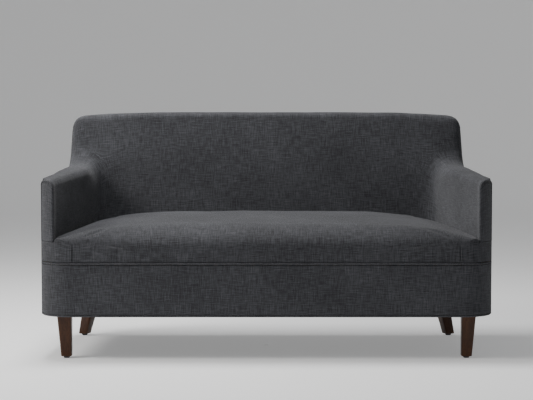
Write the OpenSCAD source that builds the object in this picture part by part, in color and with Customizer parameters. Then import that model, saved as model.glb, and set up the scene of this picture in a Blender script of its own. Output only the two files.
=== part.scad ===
// Two-seat settee with a tight seat and a tight back on four tapered wooden legs.
// The origin is on the floor under the middle of the settee. It faces -Y, and +Z is up.
// Profiles are written from the foremost front plane backwards, and placed() centres them.

/* [Overall] */
// Width over the outside arm panels
overall_w = 1600; // [1500:10:1800]
// Height of the back at the middle of its arched top
overall_h = 870; // [850:5:890]
// Depth of the base, from the seat front to the foot of the outside back
base_d = 675; // [655:5:700]
// Height of the lower edge of the upholstered base above the floor
base_z = 155; // [140:5:180]
// Plan radius of the two front corners
corner_r = 110; // [100:5:120]
// How far each side draws in towards the back, in degrees
side_taper = 3.7; // [3:0.1:4.5]
// Lean of the outside back, in degrees
outside_rake = 8.4; // [7.5:0.1:9.5]

/* [Seat] */
// Height of the seat surface at the middle, where it meets the back
seat_rear_z = 489; // [480:1:500]
// Height of the seat surface behind the front roll
seat_front_z = 472; // [465:1:478]
// Height at which the seat front starts to roll
seat_roll_z = 395; // [385:1:405]
// Depth of the front roll
seat_roll_d = 120; // [100:5:140]
// How far the crown drops at the sides, near the front
seat_drop_front = 48; // [35:1:55]
// How far the crown drops at the sides, near the back
seat_drop_rear = 38; // [30:1:45]
// Height of the welt between the seat and the base band
welt_z = 340; // [335:1:345]
// Height at which the ears of the seat meet the arm fronts
ear_z = 417; // [410:1:425]

/* [Arms] */
// Height of the arm at its front
arm_z = 635; // [625:5:650]
// Slope of the arm top towards the back, in degrees
arm_slope = 3.4; // [2.5:0.1:4]
// Thickness of the arm at its front
arm_t = 56; // [52:1:60]
// Angle by which the inner face turns inwards towards the back, in degrees
arm_turn = 10.4; // [9.5:0.1:11]
// Distance from the seat front to where the inner face starts to turn
arm_turn_y = 80; // [70:5:90]
// Radius of the sweep from the arm top up into the back
flare_r = 70; // [60:5:80]
// Rounding of the arm's inner top edge
arm_round_in = 26; // [22:1:30]
// Rounding of the arm's outer top edge
arm_round_out = 20; // [16:1:22]

/* [Back] */
// Distance from the foot of the outside back forwards to the inside back at the height of the seat
back_depth = 75; // [70:5:85]
// Lean of the inside back, in degrees
inside_rake = 12.2; // [11.5:0.1:12.8]
// Rise of the arched top from the corners to the middle
back_arch = 16; // [10:1:24]
// Fullness of the inside back at its middle
back_crown = 9; // [4:1:14]
// Rounding of the top and wing edges of the back
back_round = 28; // [24:1:32]
// How far each wing leans in at its top
wing_lean = 6; // [3:1:8]

/* [Upholstery] */
// Thickness of the covers with their wadding
cover_t = 2; // [1.5:0.5:2.5]
// Radius of the welts
welt_r = 3.5; // [3:0.25:4]
// Thickness of the padding over the front rail and corner blocks
rail_pad_t = 4.4; // [3:0.2:6]
// Radius by which the base band turns under at its lower edge
band_round = 12; // [8:1:16]
// Thickness of the deck cloth, the back burlap and the dust cover
cloth_t = 1; // [0.8:0.1:1.2]

/* [Frame] */
// Thickness of the rails
rail_t = 28; // [24:1:32]
// Top of the seat rails
rail_top_z = 330; // [325:1:332]
// Depth of the back posts, front to back
post_d = 45; // [40:1:48]
// Width of the back posts
post_w = 46; // [40:1:52]
// Height of the arm top rails and of the back tack rail
tack_h = 36; // [30:1:42]
// Thickness of the arm rails and posts
arm_frame_t = 35; // [32:1:36]
// Thickness of the hardboard arm panels
panel_t = 3; // [2.5:0.5:4]
// Distance from the middle to the seat stretchers and the back uprights, as a share of the width
stretcher_share = 0.15; // [0.12:0.01:0.18]
// Height of the leg gussets
gusset_h = 30; // [25:1:36]

/* [Springs] */
// Number of seat springs, front to back
seat_springs_n = 10; // [8:1:11]
// Distance from the outermost seat spring to the end of the front rail
seat_springs_end = 114; // [100:2:130]
// Number of back springs, bottom to top
back_springs_n = 8; // [6:1:8]
// Distance from the outermost back spring to the back post
back_springs_end = 175; // [160:5:200]
// Radius of the seat spring wire
seat_wire_r = 1.9; // [1.6:0.1:2.2]
// Radius of the back spring wire
back_wire_r = 1.5; // [1.2:0.1:1.8]
// Pitch from bar to bar of a sinuous spring
spring_pitch = 50; // [45:1:55]
// Straight length of each bar of a sinuous spring
spring_bar = 24; // [20:1:30]

/* [Legs] */
// Distance from the side of the settee in to the vertical inner face of each front leg
leg_inset = 110; // [105:1:120]
// Distance from the seat front to the middle of the front legs
leg_front_y = 75; // [70:1:80]
// Width of a leg at its top
leg_top_w = 50; // [46:1:54]
// Width of a leg at its foot
leg_foot_w = 37; // [32:1:40]
// Radius of the legs' softened edges
leg_edge_r = 6; // [4:1:8]
// Distance from the side of the settee in to the middle of each rear foot
rear_foot_side = 90; // [85:1:100]
// Distance from the foot of the outside back forwards to the middle of each rear foot
rear_foot_back = 23; // [15:1:35]
// How far a rear foot stands out and back from the top of its leg
rear_splay = 36; // [28:1:40]
// Turn of the rear legs about their own axis, in degrees
rear_turn = 25; // [20:1:30]
// Radius of the glides
glide_r = 11; // [9:0.5:12]
// Height of the glides
glide_h = 7; // [6:0.5:9]
// Radius of the leg bolts
leg_bolt_r = 4; // [3:0.5:5]
// Size of the square leg plates
plate_w = 56; // [54:1:60]
// Thickness of the leg plates
plate_t = 3; // [2:0.5:4]

/* [Clearance] */
// Gap between pieces that lie beside each other
gap = 0.3; // [0.25:0.05:0.4]

/* [Hidden] */
$fn = 48;

upholstery = [0.26, 0.26, 0.28];
welt_colour = [0.21, 0.21, 0.23];
frame_wood = "burlywood";
walnut = [0.33, 0.19, 0.10];
foam_colour = [0.93, 0.88, 0.70];
steel = [0.62, 0.64, 0.66];
black = [0.07, 0.07, 0.07];

// Plan of the base: a straight front, a round corner and a side that draws in.
corner_x = overall_w / 2 - corner_r;
corner_y = corner_r;
side_x0 = corner_x + corner_r * cos(side_taper);
side_y0 = corner_y + corner_r * sin(side_taper);
arm_in_x = overall_w / 2 - arm_t;
back_y = base_d - back_depth;
leg_in_x = overall_w / 2 - leg_inset;
rear_foot_x = overall_w / 2 - rear_foot_side;
rear_foot_y = base_d - rear_foot_back;
stretcher_x = stretcher_share * overall_w;
arm_front_a = -acos((arm_in_x - corner_x) / corner_r);
panel_edge_a = -17.4;

function mix(a, b, f) = a + (b - a) * f;
function clamp(v) = max(0, min(1, v));
function rear_y(z) = base_d + (z - base_z) * tan(outside_rake);
function frame_y(z) = rear_y(z) - (cover_t + gap + post_d + cloth_t + 2 * gap) / cos(outside_rake);
function bulge(x, z) =
    back_crown * (1 - pow(clamp(abs(x) / corner_x), 4)) * sin(180 * clamp((z - 420) / (overall_h - 420)));
function back_face_y(x, z) = back_y + (z - seat_rear_z) * tan(inside_rake) - bulge(x, z);
function side_plan_x(y, in = 0) =
    y < side_y0
        ? corner_x + sqrt(max(0, pow(corner_r - in, 2) - pow(y - corner_y, 2)))
        : side_x0 - (y - side_y0) * tan(side_taper) - in;
lean_z = arm_z + 55;
function side_x(y, z, in = 0) =
    side_plan_x(y, in) - wing_lean * max(0, z - lean_z) / (overall_h - back_arch - lean_z);
function inner_x(y) = arm_in_x - max(0, y - arm_turn_y) * tan(arm_turn);

// Side view of the arm top: a sloping line, the flare, and the leaning wing.
arm_y0 = corner_y + corner_r * sin(panel_edge_a);
arm_m = tan(arm_slope);
rake_m = tan(inside_rake);
meet_z = (arm_z + arm_m * (back_y - seat_rear_z * rake_m - arm_y0)) / (1 - arm_m * rake_m);
meet_y = back_y + (meet_z - seat_rear_z) * rake_m;
flare_a0 = arm_slope;
flare_a1 = 90 - inside_rake;
flare_len = flare_r * tan((flare_a1 - flare_a0) / 2);
flare_y0 = meet_y - flare_len * cos(flare_a0);
flare_z0 = meet_z - flare_len * sin(flare_a0);
flare_cy = flare_y0 - flare_r * sin(flare_a0);
flare_cz = flare_z0 + flare_r * cos(flare_a0);
flare_z1 = flare_cz - flare_r * cos(flare_a1);
function arm_top_z(y) = arm_z + arm_m * (y - arm_y0);
line_cells = 5;
flare_cells = 5;
// Angle of the arm top's curve at station k, counted from the front
function flare_a(k) = k <= line_cells ? flare_a0 : mix(flare_a0, flare_a1, (k - line_cells) / flare_cells);
function flare_f(k) = clamp((k - line_cells) / flare_cells);
function flare_point(k, in) = let (a = flare_a(k), r = flare_r + in)
    [flare_cy + r * sin(a), flare_cz - r * cos(a)];

back_mid_x = inner_x(meet_y);
deck_z = rail_top_z + 2 * seat_wire_r + 2 * gap + cloth_t;
step_z = flare_z1;

// Centres the whole settee on the origin. The welt stands proud of the seat front.
back_rear_r = 10;
welt_sunk = 1;
overall_d = rear_y(overall_h - back_rear_r);
module placed() {
    translate([0, -(overall_d - welt_r + welt_sunk) / 2, 0]) children();
}

module both_sides() {
    children();
    mirror([1, 0, 0]) children();
}

// A closed solid between two grids of points with the same rows and columns.
// keep(i, j) says which cells exist, flip turns the faces when the grid runs the other way,
// and even cuts the cells of the left half the other way, so that both halves are alike.
module sheet(outer, inner, flip = false, even = false, keep = function(i, j) true) {
    n = len(outer);
    m = len(outer[0]);
    off = n * m;
    function at(i, j) = i * m + j;
    function here(i, j) = i >= 0 && j >= 0 && i < n - 1 && j < m - 1 && keep(i, j);
    function wall(p, q) = [[p, q, q + off], [p, q + off, p + off]];
    faces = [
        for (i = [0:n - 2], j = [0:m - 2])
            if (keep(i, j))
                let (a = at(i, j), b = at(i, j + 1), c = at(i + 1, j + 1), d = at(i + 1, j))
                each concat(
                    even && j < (m - 1) / 2
                        ? [[a, d, b], [d, c, b], [a + off, b + off, d + off], [d + off, b + off, c + off]]
                        : [[a, d, c], [a, c, b], [a + off, c + off, d + off], [a + off, b + off, c + off]],
                    here(i, j - 1) ? [] : wall(d, a),
                    here(i + 1, j) ? [] : wall(c, d),
                    here(i, j + 1) ? [] : wall(b, c),
                    here(i - 1, j) ? [] : wall(a, b)
                )
    ];
    polyhedron(
        points = concat([for (row = outer) each row], [for (row = inner) each row]),
        faces = flip ? [for (f = faces) [f[2], f[1], f[0]]] : faces,
        convexity = 6
    );
}

// A closed tube along rings of points
module tube(rings) {
    n = len(rings);
    m = len(rings[0]);
    faces = [
        for (i = [0:n - 2], j = [0:m - 1])
            let (k = (j + 1) % m)
            each [[i * m + j, (i + 1) * m + k, (i + 1) * m + j], [i * m + j, i * m + k, (i + 1) * m + k]]
    ];
    ends = [[for (j = [m - 1:-1:0]) j], [for (j = [0:m - 1]) (n - 1) * m + j]];
    polyhedron(points = [for (ring = rings) each ring], faces = concat(faces, ends), convexity = 4);
}

// Frames in which boards are drawn: along a slanted side, and up the leaning back
module side_frame() {
    translate([side_x0, side_y0, 0]) rotate([0, 0, side_taper]) children();
}

// A board in the slanted side, in[0] to in[1] inside the outer face, with its outline in [along, up]
module side_board(in, outline) {
    side_frame()
        translate([-in[1], 0, 0]) rotate([90, 0, 90]) linear_extrude(in[1] - in[0]) polygon(outline);
}

module back_frame() {
    translate([0, base_d, base_z]) rotate([-outside_rake, 0, 0]) children();
}

// A board in the leaning back, in[0] to in[1] in front of the outer face, with its outline in [x, up]
module back_board(in, outline) {
    back_frame()
        translate([0, -in[0], 0]) rotate([90, 0, 0]) linear_extrude(in[1] - in[0]) polygon(outline);
}

function back_h(z) = (z - base_z) / cos(outside_rake);
function post_front_y(z) = rear_y(z) - (cover_t + gap + post_d) / cos(outside_rake);
function along(y) = (y - side_y0) / cos(side_taper);
// The top edge is nearly straight in the middle and falls towards its ends
arch_power = 5;
function top_arch(x) =
    let (w = side_plan_x(rear_y(overall_h)) - wing_lean)
    overall_h - back_arch * pow(abs(x) / w, arch_power);
// Height of the back's outline at x, with its round upper corners
function back_top(x, w, r) =
    top_arch(x) - (abs(x) > w - r ? r - sqrt(max(0, r * r - pow(abs(x) - (w - r), 2))) : 0);

// Room left where a board ends before the next piece, and where the arm's boards start
ease = 3;
side_start = 6;

rail_z0 = base_z + ease;
rail_in = cover_t + 2 * gap + rail_pad_t;
side_in = cover_t + gap;
side_back_in = side_in + arm_frame_t;

// Wooden frame
module front_rail() {
    color(frame_wood) placed()
        translate([-corner_x, rail_in, rail_z0]) cube([2 * corner_x, rail_t, rail_top_z - rail_z0]);
}

module corner_blocks() {
    color(frame_wood) placed() both_sides()
        translate([corner_x, corner_y, rail_z0])
            rotate([0, 0, -90]) rotate_extrude(angle = 90 + side_taper)
                translate([corner_r - rail_in - rail_t, 0]) square([rail_t, rail_top_z - rail_z0]);
}

module side_rail() {
    end = [along(post_front_y(rail_z0)) - ease, along(post_front_y(rail_top_z)) - ease];
    color(frame_wood) placed()
        side_board([rail_in, rail_in + rail_t],
            [[0, rail_z0], [end[0], rail_z0], [end[1], rail_top_z], [0, rail_top_z]]);
}

module side_rail_right() { side_rail(); }
module side_rail_left() { mirror([1, 0, 0]) side_rail(); }

post_side_in = cover_t + gap + ease;
post_drop = 36;
top_rail_w = 80;
post_x0 = side_plan_x(rear_y(base_z)) - post_side_in;
post_x1 = side_plan_x(rear_y(overall_h)) - wing_lean - post_side_in;
post_top_h = back_h(overall_h - back_arch - back_round - post_drop);
post_rear_in = cover_t + gap;

module back_post() {
    color(frame_wood) placed()
        back_board([post_rear_in, post_rear_in + post_d], [
            [post_x0 - post_w, back_h(rail_z0)], [post_x0, back_h(rail_z0)],
            [post_x1, post_top_h], [post_x1 - post_w, post_top_h]
        ]);
}

module back_post_right() { back_post(); }
module back_post_left() { mirror([1, 0, 0]) back_post(); }

// Inner edge of the post at height h up the back
function post_in_x(h) =
    mix(post_x0, post_x1, (h - back_h(rail_z0)) / (post_top_h - back_h(rail_z0))) - post_w;

module cross_rail(in, h0, h1) {
    back_board(in, [
        [-post_in_x(h0), h0], [post_in_x(h0), h0], [post_in_x(h1), h1], [-post_in_x(h1), h1]
    ]);
}

back_rail_in = [post_rear_in, post_rear_in + rail_t];
tack_h0 = back_h(rail_top_z + tack_h);
top_rail_h0 = post_top_h - top_rail_w;
top_rail_drop = back_round + 1;
top_rail_fall = 0.3;

module back_rail() {
    color(frame_wood) placed() intersection() {
        cross_rail(back_rail_in, back_h(rail_z0), back_h(rail_top_z));
        translate([-overall_w / 2, 0, 0]) cube([overall_w, 2 * base_d, rail_top_z]);
    }
}

module back_tack_rail() {
    color(frame_wood) placed() cross_rail(back_rail_in, tack_h0, tack_h0 + tack_h);
}

module back_top_rail() {
    steps = 12;
    x1 = post_in_x(post_top_h);
    arch = [for (k = [0:steps])
        let (x = mix(x1, -x1, k / steps))
        [x, back_h(top_arch(x) - top_rail_drop - top_rail_fall * max(0, abs(x) - back_mid_x))]];
    color(frame_wood) placed()
        back_board(back_rail_in, concat([[-x1, top_rail_h0], [x1, top_rail_h0]], arch));
}

module back_uprights() {
    h = [back_h(rail_top_z), tack_h0, tack_h0 + tack_h, top_rail_h0];
    color(frame_wood) placed() both_sides()
        for (span = [[h[0], h[1]], [h[2], h[3]]])
            back_frame() translate([stretcher_x, -back_rail_in[1], span[0]])
                cube([tack_h, rail_t, span[1] - span[0]]);
}

// Lower stretchers under the springs, between the front rail and the back rail
module seat_stretchers() {
    y0 = rail_in + rail_t;
    z0 = rail_z0 + gusset_h;
    z1 = z0 + post_d;
    function rail_face_y(z) = rear_y(z) - back_rail_in[1] / cos(outside_rake);
    color(frame_wood) placed() both_sides()
        translate([stretcher_x, 0, 0]) rotate([90, 0, 90]) linear_extrude(tack_h)
            polygon([[y0, z0], [rail_face_y(z0), z0], [rail_face_y(z1), z1], [y0, z1]]);
}

arm_rail_drop = arm_round_out + 1.5;
arm_rail_end_y = post_front_y(arm_z) - ease;
function arm_rail_z(y) = arm_top_z(y) - arm_rail_drop;
arm_post_z1 = arm_rail_z(arm_y0) - tack_h - ease;
// How far the post and the top rail reach forward of the corner's end
arm_post_reach = 82;
arm_rail_reach = 32;

module arm_post() {
    color(frame_wood) placed()
        intersection() {
            translate([corner_x, corner_y, rail_top_z])
                cylinder(r = arm_edge_r, h = arm_post_z1 - rail_top_z);
            side_board([side_in, side_back_in], [
                [-arm_post_reach, rail_top_z], [side_start, rail_top_z],
                [side_start, arm_post_z1], [-arm_post_reach, arm_post_z1]
            ]);
        }
}

module arm_post_right() { arm_post(); }
module arm_post_left() { mirror([1, 0, 0]) arm_post(); }

module arm_top_rail() {
    y0 = arm_y0 - arm_rail_reach;
    y1 = arm_rail_end_y;
    color(frame_wood) placed()
        intersection() {
            side_board([side_in + gap, side_back_in], [
                [along(y0), arm_post_z1], [side_start, arm_post_z1], [along(y1), arm_rail_z(y1) - tack_h],
                [along(y1), arm_rail_z(y1)], [along(y0), arm_rail_z(y0)]
            ]);
            union() {
                translate([corner_x, corner_y, 0]) cylinder(r = corner_r - welt_r - gap, h = overall_h);
                translate([0, corner_y, 0]) cube([overall_w, base_d, overall_h]);
            }
        }
}

module arm_top_rail_right() { arm_top_rail(); }
module arm_top_rail_left() { mirror([1, 0, 0]) arm_top_rail(); }

arm_tack_z = rail_top_z + tack_h;
module arm_tack_rail() {
    z1 = arm_tack_z + tack_h;
    color(frame_wood) placed()
        side_board([side_in, side_back_in], [
            [side_start, arm_tack_z], [along(post_front_y(arm_tack_z)) - ease, arm_tack_z],
            [along(post_front_y(z1)) - ease, z1], [side_start, z1]
        ]);
}

module arm_tack_rail_right() { arm_tack_rail(); }
module arm_tack_rail_left() { mirror([1, 0, 0]) arm_tack_rail(); }

panel_z0 = rail_top_z + tack_h / 3;
panel_reach = 24;
panel_in = [side_back_in, side_back_in + panel_t];

module arm_panel() {
    y0 = arm_turn_y - panel_reach;
    z_top = function(y) arm_rail_z(y) - ease;
    rear = [post_front_y(panel_z0) - ease, arm_rail_end_y];
    color("peru") placed()
        side_board(panel_in, [
            [along(y0), panel_z0], [along(rear[0]), panel_z0],
            [along(rear[1]), z_top(rear[1])], [along(y0), z_top(y0)]
        ]);
}

module arm_panel_right() { arm_panel(); }
module arm_panel_left() { mirror([1, 0, 0]) arm_panel(); }

// Gussets that carry the legs: how far each reaches, and how much its inner corner is cut off
gusset_reach = 62;
gusset_side_l = 70;
gusset_cut = 32;
gusset_front_x = corner_x - gusset_reach;
gusset_r = corner_r - rail_in - rail_t - gap;
rear_top_x = rear_foot_x - rear_splay;
rear_top_y = rear_foot_y - rear_splay;
front_top_x = leg_in_x + leg_top_w / 2;

screw_at = plate_w / 2 - 7;
screw_l = 15;
screw_r = 2;
screw_head_r = 4;
module screw_places() {
    for (x = [-screw_at, screw_at], y = [-screw_at, screw_at]) translate([x, y, 0]) children();
}

// Bolt and screw holes over a leg
module leg_holes() {
    cylinder(r = leg_bolt_r + gap, h = rail_top_z);
    screw_places() cylinder(r = screw_r + gap / 2, h = base_z + screw_l + 1);
}

module leg_gussets() {
    y_in = rail_in + rail_t;
    y_front_end = corner_y + gusset_side_l;
    x_side = function(y)
        side_x0 - y_in / cos(side_taper) - (y - side_y0) * tan(side_taper) - gap;
    x_rear = rear_top_x - gusset_reach;
    y_rear0 = rear_top_y - gusset_reach;
    y_rear1 = rear_y(rail_z0) - back_rail_in[1] / cos(outside_rake) - gap;
    y_post = post_front_y(rail_z0) - gap;
    x_post = post_x0 - post_w - ease / 2;
    color(frame_wood) placed() both_sides() {
        difference() {
            translate([0, 0, rail_z0]) union() {
                linear_extrude(gusset_h) polygon([
                    [gusset_front_x, y_in], [corner_x, y_in], [corner_x, corner_y],
                    [x_side(corner_y), corner_y], [x_side(y_front_end), y_front_end],
                    [gusset_front_x + gusset_cut, y_front_end], [gusset_front_x, y_front_end - gusset_cut]
                ]);
                translate([corner_x, corner_y, 0]) rotate([0, 0, -90])
                    rotate_extrude(angle = 90) square([gusset_r, gusset_h]);
            }
            translate([front_top_x, leg_front_y, 0]) leg_holes();
        }
        difference() {
            translate([0, 0, rail_z0]) linear_extrude(gusset_h) polygon([
                [x_rear, y_rear1], [x_rear, y_rear0 + gusset_cut], [x_rear + gusset_cut, y_rear0],
                [x_side(y_rear0), y_rear0], [x_side(y_post), y_post], [x_post, y_post], [x_post, y_rear1]
            ]);
            translate([rear_top_x, rear_top_y, 0]) rotate([0, 0, rear_turn]) leg_holes();
        }
    }
}

// A sinuous spring in its own plane: straight bars along X, joined by half rings, running along +Y
module sinuous(bars, wire_r) {
    ring_r = spring_pitch / 2;
    union() {
        for (k = [0:bars - 1])
            translate([-spring_bar / 2, k * spring_pitch, 0])
                rotate([0, 90, 0]) cylinder(r = wire_r, h = spring_bar);
        for (k = [0:bars - 2])
            translate([(k % 2 == 0 ? 1 : -1) * spring_bar / 2, (k + 0.5) * spring_pitch, 0])
                rotate([0, 0, k % 2 == 0 ? -90 : 90])
                    rotate_extrude(angle = 180) translate([ring_r, 0]) circle(r = wire_r);
    }
}

// A clip: a strip rolled over the wire, with a foot nailed to the rail, of a length that suits the bar
module spring_clip(wire_r, foot) {
    strip = 1.2;
    r = wire_r + gap / 2;
    w = spring_bar - 6;
    translate([-w / 2, 0, 0]) rotate([90, 0, 90]) linear_extrude(w) {
        difference() {
            circle(r = r + strip);
            circle(r = r);
            translate([-r - strip - 1, -r - strip - 1]) square([2 * (r + strip + 1), r + 1]);
        }
        translate([r, -wire_r - gap]) square([strip, wire_r + gap]);
        translate([r, -wire_r - gap]) square([foot, strip]);
    }
}

clip_foot = 9;
seat_wire_z = rail_top_z + seat_wire_r + gap;
seat_spring_y0 = rail_in + rail_t / 2;
spring_end_in = 20;
seat_bars = floor((rear_y(rail_top_z) - spring_end_in - seat_spring_y0) / spring_pitch) + 1;
function spread(n, pitch) = [for (k = [0:n - 1]) (k - (n - 1) / 2) * pitch];
seat_springs_gap = 2 * (corner_x - seat_springs_end) / (seat_springs_n - 1);
back_springs_gap = 2 * (post_x1 - post_w - back_springs_end) / (back_springs_n - 1);

module seat_springs() {
    color(steel) placed()
        for (x = spread(seat_springs_n, seat_springs_gap))
            translate([x, seat_spring_y0, seat_wire_z]) sinuous(seat_bars, seat_wire_r);
}

module seat_spring_clips() {
    y_last = seat_spring_y0 + (seat_bars - 1) * spring_pitch;
    color(steel) placed()
        for (x = spread(seat_springs_n, seat_springs_gap)) {
            translate([x, seat_spring_y0, seat_wire_z])
                mirror([0, 1, 0]) spring_clip(seat_wire_r, clip_foot);
            translate([x, y_last, seat_wire_z]) spring_clip(seat_wire_r, clip_foot);
        }
}

tie_r = 1.2;
module seat_tie_wires() {
    length = (seat_springs_n - 1) * seat_springs_gap + 1.5 * spring_bar;
    z = seat_wire_z - seat_wire_r - tie_r - gap / 2;
    color(steel) placed()
        for (share = [0.25, 0.6])
            translate([-length / 2, seat_spring_y0 + (floor(share * seat_bars) + 0.5) * spring_pitch, z])
                rotate([0, 90, 0]) cylinder(r = tie_r, h = length);
}

back_wire_in = back_rail_in[1] + back_wire_r + gap;
back_spring_h0 = tack_h0 + tack_h / 2;
back_bars = floor((top_rail_h0 + 0.75 * top_rail_w - back_spring_h0) / spring_pitch) + 1;

module back_spring_place(x, k) {
    back_frame()
        translate([x, -back_wire_in, back_spring_h0 + k * spring_pitch]) rotate([90, 0, 0]) children();
}

module back_springs() {
    color(steel) placed()
        for (x = spread(back_springs_n, back_springs_gap))
            back_spring_place(x, 0) sinuous(back_bars, back_wire_r);
}

module back_spring_clips() {
    color(steel) placed()
        for (x = spread(back_springs_n, back_springs_gap)) {
            back_spring_place(x, 0) mirror([0, 1, 0]) spring_clip(back_wire_r, clip_foot - 1);
            back_spring_place(x, back_bars - 1) spring_clip(back_wire_r, clip_foot - 1);
        }
}

module seat_deck_cloth() {
    y0 = seat_spring_y0 + 2 * ease;
    x_end = corner_x - seat_springs_end + 2.5 * spring_bar;
    color("tan") placed()
        translate([-x_end, y0, deck_z - cloth_t]) cube([2 * x_end, back_face_y(0, deck_z) - y0, cloth_t]);
}

module back_burlap() {
    in = post_rear_in + post_d + gap;
    lap = post_w / 4;
    h0 = tack_h0 - ease;
    h1 = post_top_h - 2 * ease;
    x0 = post_in_x(h0) + lap;
    x1 = post_in_x(post_top_h) + lap;
    color("tan") placed() back_board([in, in + cloth_t], [[-x0, h0], [x0, h0], [x1, h1], [-x1, h1]]);
}

// Soft forms. Each is a grid of points: the cover lies between in = 0 and in = cover_t.

// Seat: columns run across, rows run from the front seam over the roll to the back
seat_cols = 20;
seat_roll_rows = 6;
seat_top_rows = 5;
function seat_top_z(g) = seat_front_z + (seat_rear_z - seat_front_z) * (1 - pow(1 - g, 2));
function seat_edge_drop(g) = mix(seat_drop_front, seat_drop_rear, g);
side_power = 4.6;
function side_share(u) = pow(abs(u), side_power);

function seat_point(u, row, in) =
    let (
        roll = min(row / seat_roll_rows, 1),
        a = 90 * roll,
        g = clamp((row - seat_roll_rows) / seat_top_rows),
        drop = side_share(u) * seat_edge_drop(g),
        mid_z = seat_roll_z - 0.5 * drop,
        top_z = seat_top_z(g) - drop,
        z = row == 0 ? mid_z : mid_z + (top_z - mid_z) * sin(a) - in * sin(a),
        y_rear = back_face_y(0, seat_rear_z - drop - in) - 2 * gap,
        y_roll = seat_roll_d * (1 - cos(a)) + in * cos(a),
        y0 = row <= seat_roll_rows ? y_roll : mix(seat_roll_d, y_rear, g),
        x = u * (inner_x(y0) - 2 * gap),
        y = max(y0, corner_front_y(abs(x), in * cos(a)))
    )
    [x, g == 1 ? back_face_y(x, z) - 2 * gap : y, z];

// Front face of the base at x, along the round corner past its start
function corner_front_y(x, in) =
    x <= corner_x ? in : corner_y - sqrt(max(0, pow(corner_r - in, 2) - pow(x - corner_x, 2)));

function seat_row_edge(u, z, in) =
    let (x = u * (arm_in_x - 2 * gap)) [x, corner_front_y(abs(x), in), z];

function seat_grid(in, z0) = [
    for (row = [-1:seat_roll_rows + seat_top_rows])
        [for (k = [0:seat_cols])
            let (u = sin(90 * (2 * k / seat_cols - 1)))
            row < 0 ? seat_row_edge(u, z0, in) : seat_point(u, row, in)]
];

// Room between the foam's foot and the cover's front seam
seat_core_in = 12;
function seat_base_grid(z) = [
    for (row = [-1:seat_roll_rows + seat_top_rows])
        [for (k = [0:seat_cols])
            let (
                u = sin(90 * (2 * k / seat_cols - 1)),
                f = (row + 1) / (seat_roll_rows + seat_top_rows + 1),
                y_rear = back_face_y(0, z) - 2 * gap,
                y0 = mix(cover_t + gap + seat_core_in, y_rear, f),
                x = u * (inner_x(y0 + seat_core_in + cover_t) - 3 * gap)
            )
            [x, mix(corner_front_y(abs(x), cover_t + gap) + seat_core_in, y_rear, f), z]]
];

seam_z = welt_z + welt_r + gap;
module seat_cover() {
    color(upholstery) placed() sheet(seat_grid(0, seam_z), seat_grid(cover_t, seam_z), even = true);
}

module seat_foam() {
    color(foam_colour) placed()
        sheet(seat_grid(cover_t + gap, seam_z), seat_base_grid(deck_z + gap), even = true);
}

// The ears wrap the round front corners under the arm fronts
module corner_band(a0, a1, r, z0, z1, t) {
    translate([corner_x, corner_y, z0]) rotate([0, 0, a0])
        rotate_extrude(angle = a1 - a0) translate([r - t, 0]) square([t, z1 - z0]);
}

module seat_ear() {
    color(upholstery) placed()
        corner_band(arm_front_a + 2 * gap, panel_edge_a - gap / 2, corner_r, seam_z, ear_z, cover_t);
}

module seat_ear_right() { seat_ear(); }
module seat_ear_left() { mirror([1, 0, 0]) seat_ear(); }

// Inside back: columns run across, rows run up the face, over the top roll and down to the outside back
back_mid_cols = 12;
back_roll_cells = 3;
back_face_rows = [4, 2];
back_rows = back_face_rows[0] + back_face_rows[1] + back_roll_cells + 1 + 2;
back_cols = back_mid_cols + 2 * (1 + back_roll_cells);

function back_wing_x(z) = side_x(back_face_y(corner_x, z) + back_round, z);

// [distance from the middle, roll angle] of column k, given the half-widths of the middle and the whole
function back_column(k, mid, whole, r, r_in) =
    let (
        side = k < back_cols / 2 ? -1 : 1,
        c = k < back_cols / 2 ? back_cols - k : k,
        m = c - back_cols / 2 - back_mid_cols / 2,
        a = m <= 1 ? 0 : 90 * (m - 1) / back_roll_cells
    )
    m <= 0
        ? [side * mid * (c - back_cols / 2) / (back_mid_cols / 2), 0]
        : [side * (whole - r + r_in * sin(a)), a];

// Behind the wing's edge the back narrows with the sides
function drawn_in(p) =
    let (y = back_face_y(corner_x, overall_h - back_arch - back_round) + back_round)
    [p[0] * (1 - max(0, p[1] - y) * tan(side_taper) / side_x0), p[1], p[2]];

function back_point(k, row, in, z0) =
    let (
        f0 = back_face_rows[0],
        f1 = f0 + back_face_rows[1],
        r = back_round,
        r_in = r - in,
        zc = mix(z0, step_z + 2 * gap, min(1, row / f0)),
        w_top = back_wing_x(overall_h - back_arch - r),
        up = clamp((row - f0) / back_face_rows[1]),
        w = back_wing_x(mix(step_z, overall_h - back_arch - r, up)),
        mid = inner_x(back_face_y(inner_x(back_y), min(zc, step_z))) - 2 * gap,
        col = back_column(k, mid, w, r, r_in),
        x = col[0],
        ca = cos(col[1]),
        top = back_top(back_column(k, mid, w, r, r)[0], w_top, r),
        roll_z = top - r,
        start_z = roll_z + r * sin(inside_rake),
        start_y = back_face_y(x, start_z),
        cy = start_y + r * cos(inside_rake),
        z_face = row <= f0 ? zc : mix(step_z + 2 * gap, start_z, (row - f0) / (f1 - f0)),
        b = mix(inside_rake, 90, (row - f1) / back_roll_cells),
        rear = row - f1 - back_roll_cells,
        rear_z = top - back_rear_r,
        q = 45 * (rear - 1)
    )
    row <= f1 ? [x, back_face_y(x, z_face) + r - r_in * ca, z_face]
    : rear <= 0 ? drawn_in([x, cy - r_in * cos(b) * ca, roll_z + r_in * sin(b)])
    : drawn_in([
        x, rear_y(rear_z) - back_rear_r + (back_rear_r - in) * sin(q), rear_z + (back_rear_r - in) * cos(q)
    ]);

function back_grid(in, z0) =
    [for (row = [0:back_rows]) [for (k = [0:back_cols]) back_point(k, row, in, z0)]];

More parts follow.
